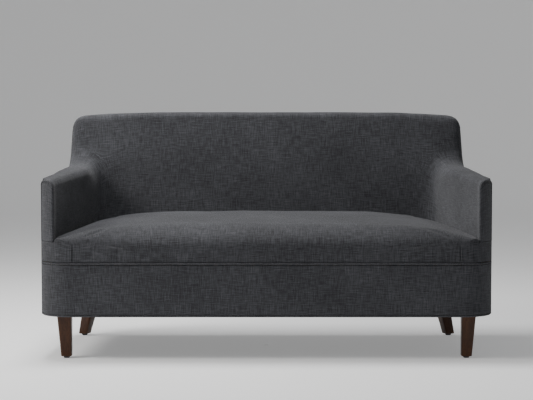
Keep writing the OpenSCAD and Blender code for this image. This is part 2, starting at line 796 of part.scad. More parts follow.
// Back of the foam: down the frame's front face, and over the top rail. The foam is thicker
// over the rail's ends, and turns onto the rail a little below its top.
cap_t = 22;
cap_end_t = 24;
cap_turn = 8;
cap_rise = 6;
function back_base_point(k, row, z0) =
    let (
        p = back_point(k, row, cover_t + gap, z0),
        f0 = back_face_rows[0],
        f1 = f0 + back_face_rows[1],
        top_z = top_arch(p[0]) - cap_t - (abs(p[0]) > post_x1 - post_w ? cap_end_t : 0),
        c = clamp((row - f1) / (back_rows - f1)),
        face_z = min(p[2], top_z - cap_turn),
        y = row <= f1 ? frame_y(face_z) : mix(frame_y(top_z - cap_rise), rear_y(top_z) - 2 * cover_t, c),
        free_x = side_x(y, p[2]) - cover_t - ease - 2 * min(k, back_cols - k),
        mid_x = inner_x(back_face_y(0, min(p[2], step_z))) - 2 * gap,
        in_mid = row <= f0 && abs(k - back_cols / 2) <= back_mid_cols / 2,
        x = in_mid ? p[0] * (inner_x(y) - 3 * gap) / mid_x : sign(p[0]) * min(abs(p[0]), free_x)
    )
    [x, y, row <= f1 ? face_z : top_z - cap_rise * pow(1 - c, 2)];

function back_base_grid(z0) =
    [for (row = [0:back_rows]) [for (k = [0:back_cols]) back_base_point(k, row, z0)]];

back_cells = function(i, j)
    i >= back_face_rows[0] || abs(j + 0.5 - back_cols / 2) < back_mid_cols / 2;

back_z0 = deck_z + 2 * gap;
module inside_back_cover() {
    color(upholstery) placed()
        sheet(back_grid(0, back_z0), back_grid(cover_t, back_z0), even = true, keep = back_cells);
}

module back_foam() {
    color(foam_colour) placed()
        sheet(back_grid(cover_t + gap, back_z0), back_base_grid(back_z0), even = true, keep = back_cells);
}

// Inside arm: columns run from the front along the arm top's curve, rows from the deck over the top
arm_in_rows = 3;
arm_round_rows = 3;
arm_rows = arm_in_rows + 2 * arm_round_rows + 1;
arm_cols = line_cells + flare_cells;
arm_foot_z = deck_z + 2 * gap;

function arm_r_in(k) = mix(arm_round_in, 3, flare_f(k));
function arm_r_out(k) = mix(arm_round_out, back_round, flare_f(k));

// [measured from the inner side, distance from that side, depth below the arm top] for a row
function arm_section(k, row, in) =
    let (
        ri = arm_r_in(k),
        ro = arm_r_out(k),
        a = 90 * clamp((row - arm_in_rows) / arm_round_rows),
        b = 90 * clamp((row - arm_in_rows - arm_round_rows - 1) / arm_round_rows)
    )
    row <= arm_in_rows + arm_round_rows
        ? [true, ri - (ri - min(in, ri - 0.5)) * cos(a), ri - (ri - min(in, ri - 0.5)) * sin(a)]
        : [false, ro - (ro - in) * sin(b), ro - (ro - in) * cos(b)];

arm_edge_r = corner_r - welt_sunk - welt_r - gap;
arm_edge_y = corner_y - sqrt(pow(arm_edge_r, 2) - pow(arm_in_x - corner_x, 2));
// Share of the straight arm top in front of column k. The inner face turns at column 1.
turn_share = (arm_turn_y - arm_edge_y) / (flare_y0 - arm_edge_y);
function arm_station(k) = k == 0 ? 0 : min(1, mix(turn_share, 1, (k - 1) / (line_cells - 1)));

function arm_point(k, row, in) =
    let (
        s = arm_section(k, row, in),
        q = s[0] ? s[1] / arm_t : 1 - s[1] / arm_t,
        front_r = arm_edge_r - in,
        fx = mix(arm_in_x, corner_x + front_r * cos(panel_edge_a), clamp(q)),
        fy = corner_y - sqrt(pow(front_r, 2) - pow(fx - corner_x, 2)),
        f = arm_station(k),
        line_y = mix(fy, flare_y0, f),
        p = k <= line_cells ? [line_y, arm_top_z(line_y) - s[2]] : flare_point(k, s[2]),
        low = clamp((arm_in_rows - row) / arm_in_rows),
        y = p[0],
        z = mix(p[1], arm_foot_z, low),
        base_x = function(y) s[0] ? inner_x(y) + s[1] : side_x(y, min(z, flare_z1), s[1])
    )
    [base_x(y) + (fx - base_x(fy)) * pow(1 - f, 4), y, z];

function arm_grid(in) = [for (row = [0:arm_rows]) [for (k = [0:arm_cols]) arm_point(k, row, in)]];

// The foam's other side: down the hardboard panel and over the arm top rail
function arm_base_point(k, row) =
    let (
        p = arm_point(k, row, cover_t + gap),
        core = side_back_in + panel_t + gap,
        y_rear = mix(flare_y0, arm_rail_end_y - 2, flare_f(k)),
        y_free = max(arm_turn_y + 6 * k - 20, k <= line_cells ? p[1] : y_rear),
        z = mix(arm_foot_z, arm_rail_z(y_free), min(1, row / arm_in_rows)),
        y = min(y_free, frame_y(z) - gap - 1.5 * (arm_cols - k)),
        top = arm_rail_z(y) + gap,
        c = clamp((row - arm_in_rows) / (arm_rows - arm_in_rows)),
        flat_x = side_x0 - (y - side_y0) * tan(side_taper),
        x = mix(flat_x - core, side_plan_x(y) - side_in - 1, c)
    )
    row < arm_in_rows ? [flat_x - core / cos(side_taper), y, mix(arm_foot_z, top, row / arm_in_rows)]
    : [x - (1 - c), y, top + (row == arm_rows ? 0 : 1.5 * sin(180 * c))];

function arm_base_grid() = [for (row = [0:arm_rows]) [for (k = [0:arm_cols]) arm_base_point(k, row)]];

module inside_arm_cover() {
    color(upholstery) placed() sheet(arm_grid(0), arm_grid(cover_t), flip = true);
}

module inside_arm_cover_right() { inside_arm_cover(); }
module inside_arm_cover_left() { mirror([1, 0, 0]) inside_arm_cover(); }

module arm_foam() {
    color(foam_colour) placed() sheet(arm_grid(cover_t + gap), arm_base_grid(), flip = true);
}

module arm_foam_right() { arm_foam(); }
module arm_foam_left() { mirror([1, 0, 0]) arm_foam(); }

// Arm front: a sheet on the round corner, w = 0 at the inner edge, rounded at both upper corners
arm_front_w = corner_r * (panel_edge_a - arm_front_a) * PI / 180;
arm_front_cols = 12;
function arm_front_angle(w) = arm_front_a + w / corner_r * 180 / PI;
function arm_front_y(w) = corner_y + corner_r * sin(arm_front_angle(w));
// Height of the arm front's outline at w, drawn in by e, counted from the arm top
function arm_front_drop(w, e) =
    let (ri = arm_round_in, ro = arm_round_out, v = arm_front_w - w)
    w < ri ? -ri - ease + sqrt(max(0, pow(ri - e, 2) - pow(ri - w, 2)))
    : v < ro ? -ro + sqrt(max(0, pow(ro - e, 2) - pow(ro - v, 2)))
    : -e;
sheet_in = 2 * (welt_r + gap) + 2 * gap;
function arm_front_grid(r) = [
    for (row = [0:1])
        [for (k = [0:arm_front_cols])
            let (
                w = (arm_front_w - sheet_in) * (1 - cos(180 * k / arm_front_cols)) / 2,
                a = arm_front_angle(w),
                top = arm_top_z(arm_front_y(w)) + arm_front_drop(w, sheet_in)
            )
            [corner_x + r * cos(a), corner_y + r * sin(a), row == 0 ? ear_z + gap : top]]
];

module arm_front() {
    color(upholstery) placed() sheet(arm_front_grid(corner_r), arm_front_grid(corner_r - cover_t));
}

module arm_front_right() { arm_front(); }
module arm_front_left() { mirror([1, 0, 0]) arm_front(); }

// The arm welt runs over the top of the arm front and down its outer edge
function welt_path(e) = concat(
    [for (k = [0:6]) let (a = 15 * k)
        [arm_round_in - (arm_round_in - e) * cos(a), (arm_round_in - e) * sin(a) - arm_round_in]],
    [for (k = [0:6]) let (a = 15 * k)
        [arm_front_w - arm_round_out + (arm_round_out - e) * sin(a),
            (arm_round_out - e) * cos(a) - arm_round_out]],
    [[arm_front_w - e, (ear_z - arm_z) / 2], [arm_front_w - e, undef]]
);

module arm_welt() {
    path = welt_path(welt_r + gap);
    n = len(path);
    proud = corner_r + gap;
    flat = [for (p = path) [p[0], p[1] == undef ? ear_z : arm_top_z(arm_front_y(p[0])) + p[1]]];
    rings = [
        for (k = [0:n - 1])
            let (
                d = flat[min(k + 1, n - 1)] - flat[max(k - 1, 0)],
                len = norm(d),
                side = [-d[1], d[0]] / len,
                a = arm_front_angle(flat[k][0])
            )
            [for (j = [0:7])
                let (
                    t = 45 * j,
                    r = proud + welt_r * cos(t),
                    w = flat[k][0] + welt_r * sin(t) * side[0],
                    aw = a + (w - flat[k][0]) / proud * 180 / PI,
                    z = flat[k][1] + welt_r * sin(t) * side[1]
                )
                [corner_x + r * cos(aw), corner_y + r * sin(aw), z]]
    ];
    color(welt_colour) placed() tube(rings);
}

module arm_welt_right() { arm_welt(); }
module arm_welt_left() { mirror([1, 0, 0]) arm_welt(); }

// Outside arm: columns follow the side from the corner to the outside back, rows go up to the arm top
rear_edge_r = 6;
panel_rows = 4;
function panel_stations() = concat(
    [for (k = [0:4]) let (a = mix(panel_edge_a + 2 * gap, side_taper, k / 4)) corner_y + corner_r * sin(a)],
    [mix(side_y0, flare_y0, 0.5), flare_y0]
);

// [y, top] along the upper edge of the outside arm
function panel_edge() =
    let (
        corner_z = overall_h - back_arch - back_round - 2 * cover_t - gap,
        wing_y = function(z) back_face_y(corner_x, z) + back_round + gap
    )
    concat(
        [for (y = panel_stations()) [y, arm_top_z(y) - arm_round_out - gap]],
        [for (k = [line_cells + 1:arm_cols]) flare_point(k, arm_r_out(k) + gap)],
        [for (share = [0, 0.5])
            [mix(wing_y(corner_z), rear_y(corner_z) - rear_edge_r, share), corner_z]]
    );

function panel_point(k, row, in) =
    let (
        edge = panel_edge(),
        n = len(edge),
        top_z = k < n ? edge[k][1] : edge[n - 1][1] - 0.8 * back_rear_r,
        leans = top_z > lean_z + 5,
        z = !leans ? mix(rail_z0, top_z, row / panel_rows)
            : row < panel_rows ? mix(rail_z0, lean_z, row / (panel_rows - 1)) : top_z,
        turn = k < n ? 0 : 90 * (k - n) / 3,
        y_edge = rear_y(z) - rear_edge_r,
        lean_y = k < n ? edge[k][0] : 0,
        y_top_edge = rear_y(top_z) - rear_edge_r,
        y_last = edge[n - 1][0],
        share = clamp((lean_y - flare_y0) / (y_last - flare_y0)),
        y = lean_y - share * (y_top_edge - y_edge) * 0.9,
        corner = k >= n,
        y_c = y_edge + (rear_edge_r - in) * sin(turn),
        x_c = side_x(y_edge, z) - rear_edge_r + (rear_edge_r - in) * cos(turn)
    )
    corner ? [x_c, y_c, z] : [side_x(y, z, in), y, z];

module outside_arm() {
    cols = len(panel_edge()) + 3;
    grid = function(in) [for (row = [0:panel_rows]) [for (k = [0:cols]) panel_point(k, row, in)]];
    color(upholstery) placed() sheet(grid(0), grid(cover_t));
}

module outside_arm_right() { outside_arm(); }
module outside_arm_left() { mirror([1, 0, 0]) outside_arm(); }

module outside_back() {
    steps = 24;
    w0 = side_x(rear_y(rail_z0), rail_z0) - rear_edge_r - gap;
    z1 = overall_h - back_arch - back_round - gap;
    w1 = side_x(rear_y(z1), z1) - rear_edge_r - gap;
    w_top = back_wing_x(overall_h - back_arch - back_round);
    share = w_top / drawn_in([w_top, rear_y(z1), z1])[0];
    top = [for (k = [1:steps - 1])
        let (x = w1 * cos(180 * k / steps))
        [x, back_h(back_top(x * share, w_top, back_round) - back_rear_r - 4 * gap)]];
    h0 = back_h(rail_z0);
    color(upholstery) placed()
        back_board([0, cover_t], concat([[-w0, h0], [w0, h0], [w1, back_h(z1)]], top, [[-w1, back_h(z1)]]));
}

// Base band with its lower edge turned under, and the padding behind it
function band_profile() = concat(
    [[-cover_t, welt_z - welt_r - gap], [0, welt_z - welt_r - gap]],
    [for (k = [0:4]) let (a = 60 * k / 4)
        [-band_round * (1 - cos(a)), base_z + 4 + band_round * (sin(60) - sin(a))]],
    [[-rail_in + gap, base_z + 4]],
    [for (k = [3:-1:0]) let (a = 60 * k / 4)
        [-band_round + (band_round - cover_t) * cos(a), base_z + 4 + band_round * (sin(60) - sin(a))]]
);

module around_front(a1) {
    translate([-corner_x, 0, 0]) rotate([90, 0, 90]) linear_extrude(2 * corner_x) mirror([1, 0]) children();
    for (side = [0, 1]) mirror([side, 0, 0])
        translate([corner_x, corner_y, 0]) rotate([0, 0, -90])
            rotate_extrude(angle = 90 + a1) translate([corner_r, 0]) children();
}

module base_band() {
    color(upholstery) placed() around_front(panel_edge_a - gap / 2) polygon(band_profile());
}

module rail_padding() {
    color("ivory") placed() around_front(side_taper)
        translate([-rail_in + gap, base_z + 20]) square([rail_pad_t - gap, rail_top_z - base_z - 20]);
}

module seat_welt() {
    color(welt_colour) placed()
        around_front(panel_edge_a - gap / 2) translate([-welt_sunk, welt_z]) circle(r = welt_r);
}

// The base welt closes the lower edge all the way round
base_welt_in = 6.5;
base_welt_sunk = 2.6;
module base_welt() {
    in = base_welt_in;
    bend = in + 1.5;
    z = base_z - welt_r + base_welt_sunk;
    side_len = (rear_y(base_z) - in - bend - side_y0 + (in + bend) * sin(side_taper)) / cos(side_taper);
    x_rear = side_x0 - (in + bend) * cos(side_taper) - side_len * sin(side_taper);
    color(welt_colour) placed() {
        around_front(side_taper) translate([-in, z]) circle(r = welt_r);
        both_sides() side_frame() {
            translate([-in, 0, z]) rotate([-90, 0, 0]) cylinder(r = welt_r, h = side_len);
            translate([-in - bend, side_len, z]) rotate_extrude(angle = 90 - side_taper)
                translate([bend, 0]) circle(r = welt_r);
        }
        translate([-x_rear, rear_y(base_z) - in, z]) rotate([0, 90, 0]) cylinder(r = welt_r, h = 2 * x_rear);
    }
}

module dust_cover() {
    inset = 2 * base_welt_in + ease;
    plate = plate_w + 4;
    y1 = rear_y(base_z) - inset;
    color(black) placed()
        difference() {
            translate([0, 0, rail_z0 - cloth_t - gap]) linear_extrude(cloth_t) polygon(concat(
                [for (k = [0:8]) let (a = -90 + 90 * k / 8)
                    [corner_x + (corner_r - inset) * cos(a), corner_y + (corner_r - inset) * sin(a)]],
                [[side_plan_x(y1) - inset, y1], [-side_plan_x(y1) + inset, y1]],
                [for (k = [8:-1:0]) let (a = -90 + 90 * k / 8)
                    [-corner_x - (corner_r - inset) * cos(a), corner_y + (corner_r - inset) * sin(a)]]
            ));
            both_sides() {
                translate([front_top_x, leg_front_y, base_z]) cube([plate, plate, 20], center = true);
                translate([rear_top_x, rear_top_y, base_z]) rotate([0, 0, rear_turn])
                    cube([plate, plate, 20], center = true);
            }
        }
}

// Legs, each a tapered square bar with softened edges, bored for its bolt and its glide's pin
bolt_l = 38;
glide_pin_r = 3;
glide_pin_l = 14;
module leg_bar(foot) {
    r = leg_edge_r;
    difference() {
        hull() {
            for (x = [-1, 1], y = [-1, 1]) {
                translate([foot[0] + x * (leg_foot_w / 2 - r), foot[1] + y * (leg_foot_w / 2 - r), glide_h])
                    cylinder(r = r, h = 1, $fn = 20);
                translate([x * (leg_top_w / 2 - r), y * (leg_top_w / 2 - r), base_z - 1])
                    cylinder(r = r, h = 1, $fn = 20);
            }
        }
        translate([0, 0, base_z - bolt_l - 2]) cylinder(r = leg_bolt_r + gap / 2, h = base_z);
        translate([foot[0], foot[1], 0])
            cylinder(r = glide_pin_r + gap / 2, h = glide_h + glide_pin_l + 2);
    }
}

front_foot = [-(leg_top_w - leg_foot_w) / 2, 0];

module front_leg() {
    color(walnut) placed() translate([front_top_x, leg_front_y, 0]) leg_bar(front_foot);
}

module front_leg_right() { front_leg(); }
module front_leg_left() { mirror([1, 0, 0]) front_leg(); }

module rear_leg() {
    a = rear_turn;
    foot = [rear_splay * cos(a) + rear_splay * sin(a), -rear_splay * sin(a) + rear_splay * cos(a)];
    color(walnut) placed() translate([rear_top_x, rear_top_y, 0]) rotate([0, 0, a]) leg_bar(foot);
}

module rear_leg_right() { rear_leg(); }
module rear_leg_left() { mirror([1, 0, 0]) rear_leg(); }

module at_leg_tops() {
    both_sides() {
        translate([front_top_x, leg_front_y, 0]) children();
        translate([rear_top_x, rear_top_y, 0]) rotate([0, 0, rear_turn]) children();
    }
}

module leg_plates() {
    color(steel) placed() at_leg_tops() translate([0, 0, base_z])
        difference() {
            translate([-plate_w / 2, -plate_w / 2, 0]) cube([plate_w, plate_w, plate_t]);
            translate([0, 0, -1]) cylinder(r = leg_bolt_r + gap, h = plate_t + 2);
            screw_places() translate([0, 0, -1]) cylinder(r = screw_r + gap, h = plate_t + 2);
            screw_places() cylinder(r1 = screw_head_r + gap, r2 = screw_r + gap, h = 2);
        }
}

module plate_screws() {
    color(steel) placed() at_leg_tops() screw_places()
        translate([0, 0, base_z + gap]) rotate_extrude()
            polygon([
                [0, 0], [screw_head_r - 0.2, 0], [screw_r - 0.1, screw_r - 0.1],
                [screw_r - 0.1, screw_l - ease], [0, screw_l]
            ]);
}

module leg_bolts() {
    color(steel) placed() at_leg_tops() translate([0, 0, base_z - bolt_l])
        cylinder(r = leg_bolt_r, h = bolt_l + plate_t + gusset_h);
}

module glide() {
    z = glide_h - gap;
    rotate_extrude() polygon([
        [0, 0], [glide_r - 2, 0], [glide_r, 2], [glide_r, z],
        [glide_pin_r, z], [glide_pin_r, glide_h + glide_pin_l], [0, glide_h + glide_pin_l]
    ]);
}

module glides() {
    color(black) placed() both_sides() {
        translate([front_top_x + front_foot[0], leg_front_y + front_foot[1], 0]) glide();
        translate([rear_foot_x, rear_foot_y, 0]) glide();
    }
}

front_rail();
back_rail();
side_rail_right();
side_rail_left();
corner_blocks();
leg_gussets();
seat_stretchers();
arm_post_right();
arm_post_left();
arm_top_rail_right();
arm_top_rail_left();
arm_tack_rail_right();
arm_tack_rail_left();
arm_panel_right();
arm_panel_left();
back_post_right();
back_post_left();
back_top_rail();
back_tack_rail();
back_uprights();
seat_springs();
seat_spring_clips();
seat_tie_wires();
back_springs();
back_spring_clips();
seat_deck_cloth();
back_burlap();
seat_foam();
back_foam();
arm_foam_right();
arm_foam_left();
rail_padding();
seat_cover();
seat_ear_right();
seat_ear_left();
inside_back_cover();
inside_arm_cover_right();
inside_arm_cover_left();
arm_front_right();
arm_front_left();
outside_arm_right();
outside_arm_left();
outside_back();
base_band();
seat_welt();
base_welt();
arm_welt_right();
arm_welt_left();
dust_cover();
front_leg_right();
front_leg_left();
rear_leg_right();
rear_leg_left();
leg_plates();
plate_screws();
leg_bolts();
glides();
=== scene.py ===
"""Two-seat settee with a tight seat and a tight back, upholstered in a charcoal weave.

Local measures are millimetres from the foremost front plane backwards, as in the CAD source;
world() turns them into the frame's metres.
"""
import math

import bpy
import bmesh
import numpy as np
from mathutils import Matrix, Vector, noise

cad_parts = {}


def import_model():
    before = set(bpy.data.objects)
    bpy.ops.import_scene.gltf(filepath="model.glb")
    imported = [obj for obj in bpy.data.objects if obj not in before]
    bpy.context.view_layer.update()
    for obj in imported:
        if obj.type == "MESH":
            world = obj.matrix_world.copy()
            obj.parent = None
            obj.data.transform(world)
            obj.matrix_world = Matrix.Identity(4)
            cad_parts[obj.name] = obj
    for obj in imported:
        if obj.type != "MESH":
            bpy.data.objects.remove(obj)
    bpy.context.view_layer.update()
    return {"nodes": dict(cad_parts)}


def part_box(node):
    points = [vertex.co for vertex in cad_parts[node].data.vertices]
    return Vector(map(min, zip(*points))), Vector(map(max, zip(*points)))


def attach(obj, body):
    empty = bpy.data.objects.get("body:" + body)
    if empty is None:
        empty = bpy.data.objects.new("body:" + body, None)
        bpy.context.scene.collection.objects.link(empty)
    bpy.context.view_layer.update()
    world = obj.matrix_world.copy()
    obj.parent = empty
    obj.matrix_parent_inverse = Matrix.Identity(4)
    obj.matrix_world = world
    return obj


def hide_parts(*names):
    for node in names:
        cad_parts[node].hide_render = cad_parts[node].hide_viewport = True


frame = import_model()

MM, QUARTER = 0.001, math.pi / 2
RAIL_IN = 7.0  # the front rail's distance behind the front plane
MID_Y = RAIL_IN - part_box("front_rail")[0].y / MM

# ---- sizes
W, H, BASE_D, BASE_Z = 1600.0, 870.0, 675.0, 155.0
CORNER_R, TAPER, OUT_RAKE = 110.0, math.radians(3.7), math.radians(8.4)
CX, CY = W / 2 - CORNER_R, CORNER_R
SIDE_X0, SIDE_Y0 = CX + CORNER_R * math.cos(TAPER), CY + CORNER_R * math.sin(TAPER)
SEAT_REAR_Z, SEAT_FRONT_Z, ROLL_Z, ROLL_D = 489.0, 472.0, 395.0, 120.0
DROP_FRONT, DROP_REAR, WELT_Z, EAR_Z = 48.0, 38.0, 340.0, 417.0
ARM_Z, ARM_SLOPE, ARM_T = 635.0, math.radians(3.4), 56.0
ARM_TURN, ARM_TURN_Y, FLARE_R = math.tan(math.radians(10.4)), 80.0, 70.0
ROUND_IN, ROUND_OUT = 26.0, 20.0
BACK_Y, RAKE, ARCH, CROWN, BACK_R, LEAN = 600.0, math.radians(12.2), 16.0, 9.0, 28.0, 6.0
REAR_R, WELT_R, GAP = 10.0, 3.5, 0.3
OUTLINE_R = 42.0  # the back's upper corners, seen from the front
ARM_IN_X = W / 2 - ARM_T
EDGE_A = math.radians(-17.4)
LEAN_Z = ARM_Z + 55
ARM_INSET = 1 + WELT_R + GAP
ARM_EDGE_R = CORNER_R - ARM_INSET
DECK_Z = 336.0
COVER_THICK = 2
WELD = 0.05  # points closer than this are one
UV_NAME = "cloth"
CLOTH_FRAMES = 20
CLOTH = {"quality": 6, "mass": 0.25, "tension_stiffness": 12, "compression_stiffness": 12,
         "bending_stiffness": 0.4, "shrink_min": -0.006}


def smooth(a, b, v):
    """0 below a, 1 above b, with an even rise between."""
    t = np.clip((np.asarray(v, float) - a) / (b - a), 0, 1)
    return t * t * (3 - 2 * t)


def mix(a, b, f):
    return a + (b - a) * f


def pack(*parts):
    """Points or UVs from their coordinates, each of them an array or one number."""
    return np.stack(np.broadcast_arrays(*parts), -1)


def axes(grid):
    """A grid's coordinates, one array each."""
    return np.moveaxis(grid, -1, 0)


def lift(plan, z):
    """Points over a plan."""
    return pack(*plan.T, z)


def arc(cx, cy, r, angles):
    """Plan points on a circle."""
    return pack(cx + r * np.cos(angles), cy + r * np.sin(angles))


def corner(angles, inset=0.0):
    """Plan points round the base's front corner."""
    return arc(CX, CY, CORNER_R - inset, angles)


def crowded(count, by=QUARTER):
    """Shares from -1 to 1 that lie closer together towards the ends."""
    return np.sin(np.linspace(-1, 1, count) * by) / math.sin(by)


def shares(count, first=0):
    """The shares first / count to 1, in even steps."""
    return np.arange(first, count + 1) / count


def bell(v, reach):
    return np.exp(-(v / reach) ** 2)


def ends(count, first=(), last=()):
    """Zeros, apart from the given values at the two ends."""
    out = np.zeros(count)
    out[:len(first)], out[count - len(last):] = first, last
    return out


def above(v):
    return np.maximum(0, v)


def chord(r, a):
    """How far a circle of radius r reaches at a from its centre."""
    return np.sqrt(above(r ** 2 - a ** 2))


def length(v):
    return np.linalg.norm(v, axis=-1)


def unit(v):
    return v / np.maximum(length(v), 1e-9)[..., None]


def chain(*parts):
    return np.concatenate(parts)


def running(steps):
    """The sums of the steps so far, from 0."""
    return chain([0], np.cumsum(steps))


def world(p):
    """Frame coordinates of local points."""
    return (np.asarray(p, float) - [0, MID_Y, 0]) * MM


def rear_y(z):
    return BASE_D + (z - BASE_Z) * math.tan(OUT_RAKE)


def bulge(x, z):
    side = 1 - np.clip(np.abs(x) / CX, 0, 1) ** 4
    return CROWN * side * np.sin(np.pi * np.clip((z - 420) / (H - 420), 0, 1))


def face_y(x, z):
    """Depth of the inside back at x and z."""
    return BACK_Y + (z - SEAT_REAR_Z) * math.tan(RAKE) - bulge(x, z)


def side_plan_x(y, inset=0.0):
    y = np.asarray(y, float)
    turn = CX + chord(CORNER_R - inset, y - CY)
    return np.where(y < SIDE_Y0, turn, SIDE_X0 - (y - SIDE_Y0) * math.tan(TAPER) - inset)


def side_x(y, z, inset=0.0):
    return side_plan_x(y, inset) - LEAN * above(z - LEAN_Z) / (H - ARCH - LEAN_Z)


def inner_x(y):
    return ARM_IN_X - above(np.asarray(y, float) - ARM_TURN_Y) * ARM_TURN


def arc_uv(grid):
    """UVs in metres: the mean lengths along a grid's rows and up its columns."""
    u = running(length(np.diff(grid, axis=1)).mean(0))
    v = running(length(np.diff(grid, axis=0)).mean(1))
    return pack(u, v[:, None]) * MM


def ripple(p, size, seed):
    """Smooth noise of about -1 to 1 at local points, with the given feature size."""
    flat = p.reshape(-1, 3) / size + seed
    out = np.array([noise.noise(Vector(q)) for q in flat])
    return out.reshape(p.shape[:-1]) * 1.6


def normals(grid):
    """Unit normals of a grid of points, by its columns crossed with its rows."""
    return unit(np.cross(np.gradient(grid, axis=1), np.gradient(grid, axis=0)))


# ---- building meshes
class Skin:
    """Welded grids of points that become one closed piece."""

    def __init__(self):
        self.points, self.quads, self.uvs, self.inner = [], [], [], []
        self.count, self.verts = 0, None

    def add(self, grid, uv, inner=None, keep=None):
        """One more grid. Its inner layer is inner, or follows from the piece's thickness."""
        n, m = grid.shape[:2]
        at = self.count + np.arange(n * m).reshape(n, m)
        cells = np.stack([at[:-1, :-1], at[:-1, 1:], at[1:, 1:], at[1:, :-1]], -1)
        self.quads.append(cells.reshape(-1, 4) if keep is None else cells[keep])
        self.points.append(grid.reshape(-1, 3))
        self.uvs.append(uv.reshape(-1, 2))
        self.inner.append(np.full((n * m, 3), np.nan) if inner is None else inner.reshape(-1, 3))
        self.count += n * m

    def weld(self):
        """Joins points that coincide, and keeps each corner's own UV."""
        points = chain(*self.points)
        self.corner_uv, self.cells = chain(*self.uvs), chain(*self.quads)
        _, first, at = np.unique(np.round(points / WELD), axis=0, return_index=True,
                                 return_inverse=True)
        faces = at.reshape(-1)[self.cells]
        used = np.unique(faces)
        new = np.full(len(first), -1)
        new[used] = np.arange(len(used))
        self.verts, self.faces = points[first[used]], new[faces]
        self.inner_verts = chain(*self.inner)[first[used]]

    def relax(self, share, times):
        """Moves each point towards its neighbours' mean, by its share. The rim stays."""
        e = np.sort(chain(*(self.faces[:, [i, (i + 1) % 4]] for i in range(4))), 1)
        e, seen = np.unique(e[e[:, 0] != e[:, 1]], axis=0, return_counts=True)
        share = share.copy()
        share[np.unique(e[seen == 1])] = 0
        count = np.maximum(np.bincount(e.ravel(), minlength=len(self.verts)), 1)[:, None]
        for _ in range(times):
            total = np.zeros_like(self.verts)
            for a, b in ((0, 1), (1, 0)):
                np.add.at(total, e[:, a], self.verts[e[:, b]])
            self.verts += (total / count - self.verts) * (0.5 * share)[:, None]

    def normals(self):
        v, f = self.verts, self.faces
        n = np.cross(v[f[:, 2]] - v[f[:, 0]], v[f[:, 3]] - v[f[:, 1]])
        out = np.zeros_like(v)
        for i in range(4):
            np.add.at(out, f[:, i], n)
        return unit(out)

    def build(self, name, thick, material):
        """The closed piece: outer faces, inner faces and walls round the rim."""
        if self.verts is None:
            self.weld()
        outer, count = self.verts, len(self.verts)
        inner = np.where(np.isnan(self.inner_verts), outer - self.normals() * thick,
                         self.inner_verts)
        faces, loops, half = [], [], {}
        for cell, corner in zip(self.faces.tolist(), self.cells.tolist()):
            keep = [i for i in range(4) if cell[i] != cell[i - 1]]
            if len(keep) < 3:
                continue
            f, c = [cell[i] for i in keep], [corner[i] for i in keep]
            faces += [f, [i + count for i in reversed(f)]]
            loops += [c, c[::-1]]
            for i in range(len(f)):
                j = (i + 1) % len(f)
                half[(f[i], f[j])] = (c[i], c[j])
        for (a, b), (ca, cb) in half.items():
            if (b, a) not in half:
                faces.append([b, a, a + count, b + count])
                loops.append([cb, ca, ca, cb])
        points = chain(outer, inner)
        return make_mesh(name, points, faces, self.corner_uv, loops, material)


def puffed(grid, held, pressure, cap):
    """A grid of cloth after a short simulation: blown up from inside, held where held is 1.

    Every second row and column takes part, and no point moves further than cap.
    """
    rows, cols = (np.unique(np.append(np.arange(0, size, 2), size - 1)) for size in grid.shape[:2])
    part, n, m = np.ix_(rows, cols), len(rows), len(cols)
    points = world(grid[part].reshape(-1, 3))
    first = (np.arange(n - 1)[:, None] * m + np.arange(m - 1)).ravel()
    quads = np.stack([first, first + 1, first + m + 1, first + m], 1)
    mesh = bpy.data.meshes.new("cloth_try")
    mesh.from_pydata(points.tolist(), [], quads.tolist())
    piece, scene = add_object("cloth_try", mesh), bpy.context.scene
    group = piece.vertex_groups.new(name="held")
    for i, share in enumerate(held[part].ravel().tolist()):
        group.add([i], share, "REPLACE")
    cloth = piece.modifiers.new("cloth", "CLOTH")
    for key, value in CLOTH.items():
        setattr(cloth.settings, key, value)
    cloth.settings.effector_weights.gravity = 0
    cloth.settings.vertex_group_mass = "held"
    cloth.settings.use_pressure = True
    cloth.settings.uniform_pressure_force = pressure
    cloth.point_cache.frame_end = CLOTH_FRAMES
    for frame_no in range(1, CLOTH_FRAMES + 1):
        scene.frame_set(frame_no)
    view = piece.evaluated_get(bpy.context.evaluated_depsgraph_get())
    after = np.array([v.co[:] for v in view.data.vertices])
    scene.frame_set(1)
    bpy.data.objects.remove(piece)
    bpy.data.meshes.remove(mesh)
    move = (after - points) / MM
    move *= np.minimum(1, cap / np.maximum(length(move), 1e-9))[:, None]
    move = move.reshape(n, m, 3)
    for axis, at in ((1, cols), (0, rows)):
        places = np.arange(grid.shape[axis])
        move = np.apply_along_axis(lambda v: np.interp(places, at, v), axis, move)
    return grid + move


def make_mesh(name, points, faces, uv, loops, material):
    """A smooth piece of local points that rides on the body; loops are its corners' rows in uv."""
    me = bpy.data.meshes.new(name)
    me.from_pydata(world(points).tolist(), [], faces)
    layer = me.uv_layers.new(name=UV_NAME)
    flat = np.array([uv[i] for loop in loops for i in loop], np.float32)
    layer.data.foreach_set("uv", flat.ravel())
    me.validate()
    bm = bmesh.new()
    bm.from_mesh(me)
    bmesh.ops.recalc_face_normals(bm, faces=bm.faces)
    bm.to_mesh(me)
    bm.free()
    obj = add_mesh(me, material)
    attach(obj, "root")
    return obj


def add_object(name, data, place=(0, 0, 0), turn=(0, 0, 0)):
    obj = bpy.data.objects.new(name, data)
    obj.location, obj.rotation_euler = place, turn
    bpy.context.scene.collection.objects.link(obj)
    return obj


def add_mesh(me, material):
    me.polygons.foreach_set("use_smooth", [True] * len(me.polygons))
    me.materials.append(material)
    return add_object(me.name, me)


def flip_x(points):
    """The other side's copy of a grid or a plan, reversed so that it still faces outwards."""
    return points[::-1] * [-1, 1, 1][:points.shape[-1]]


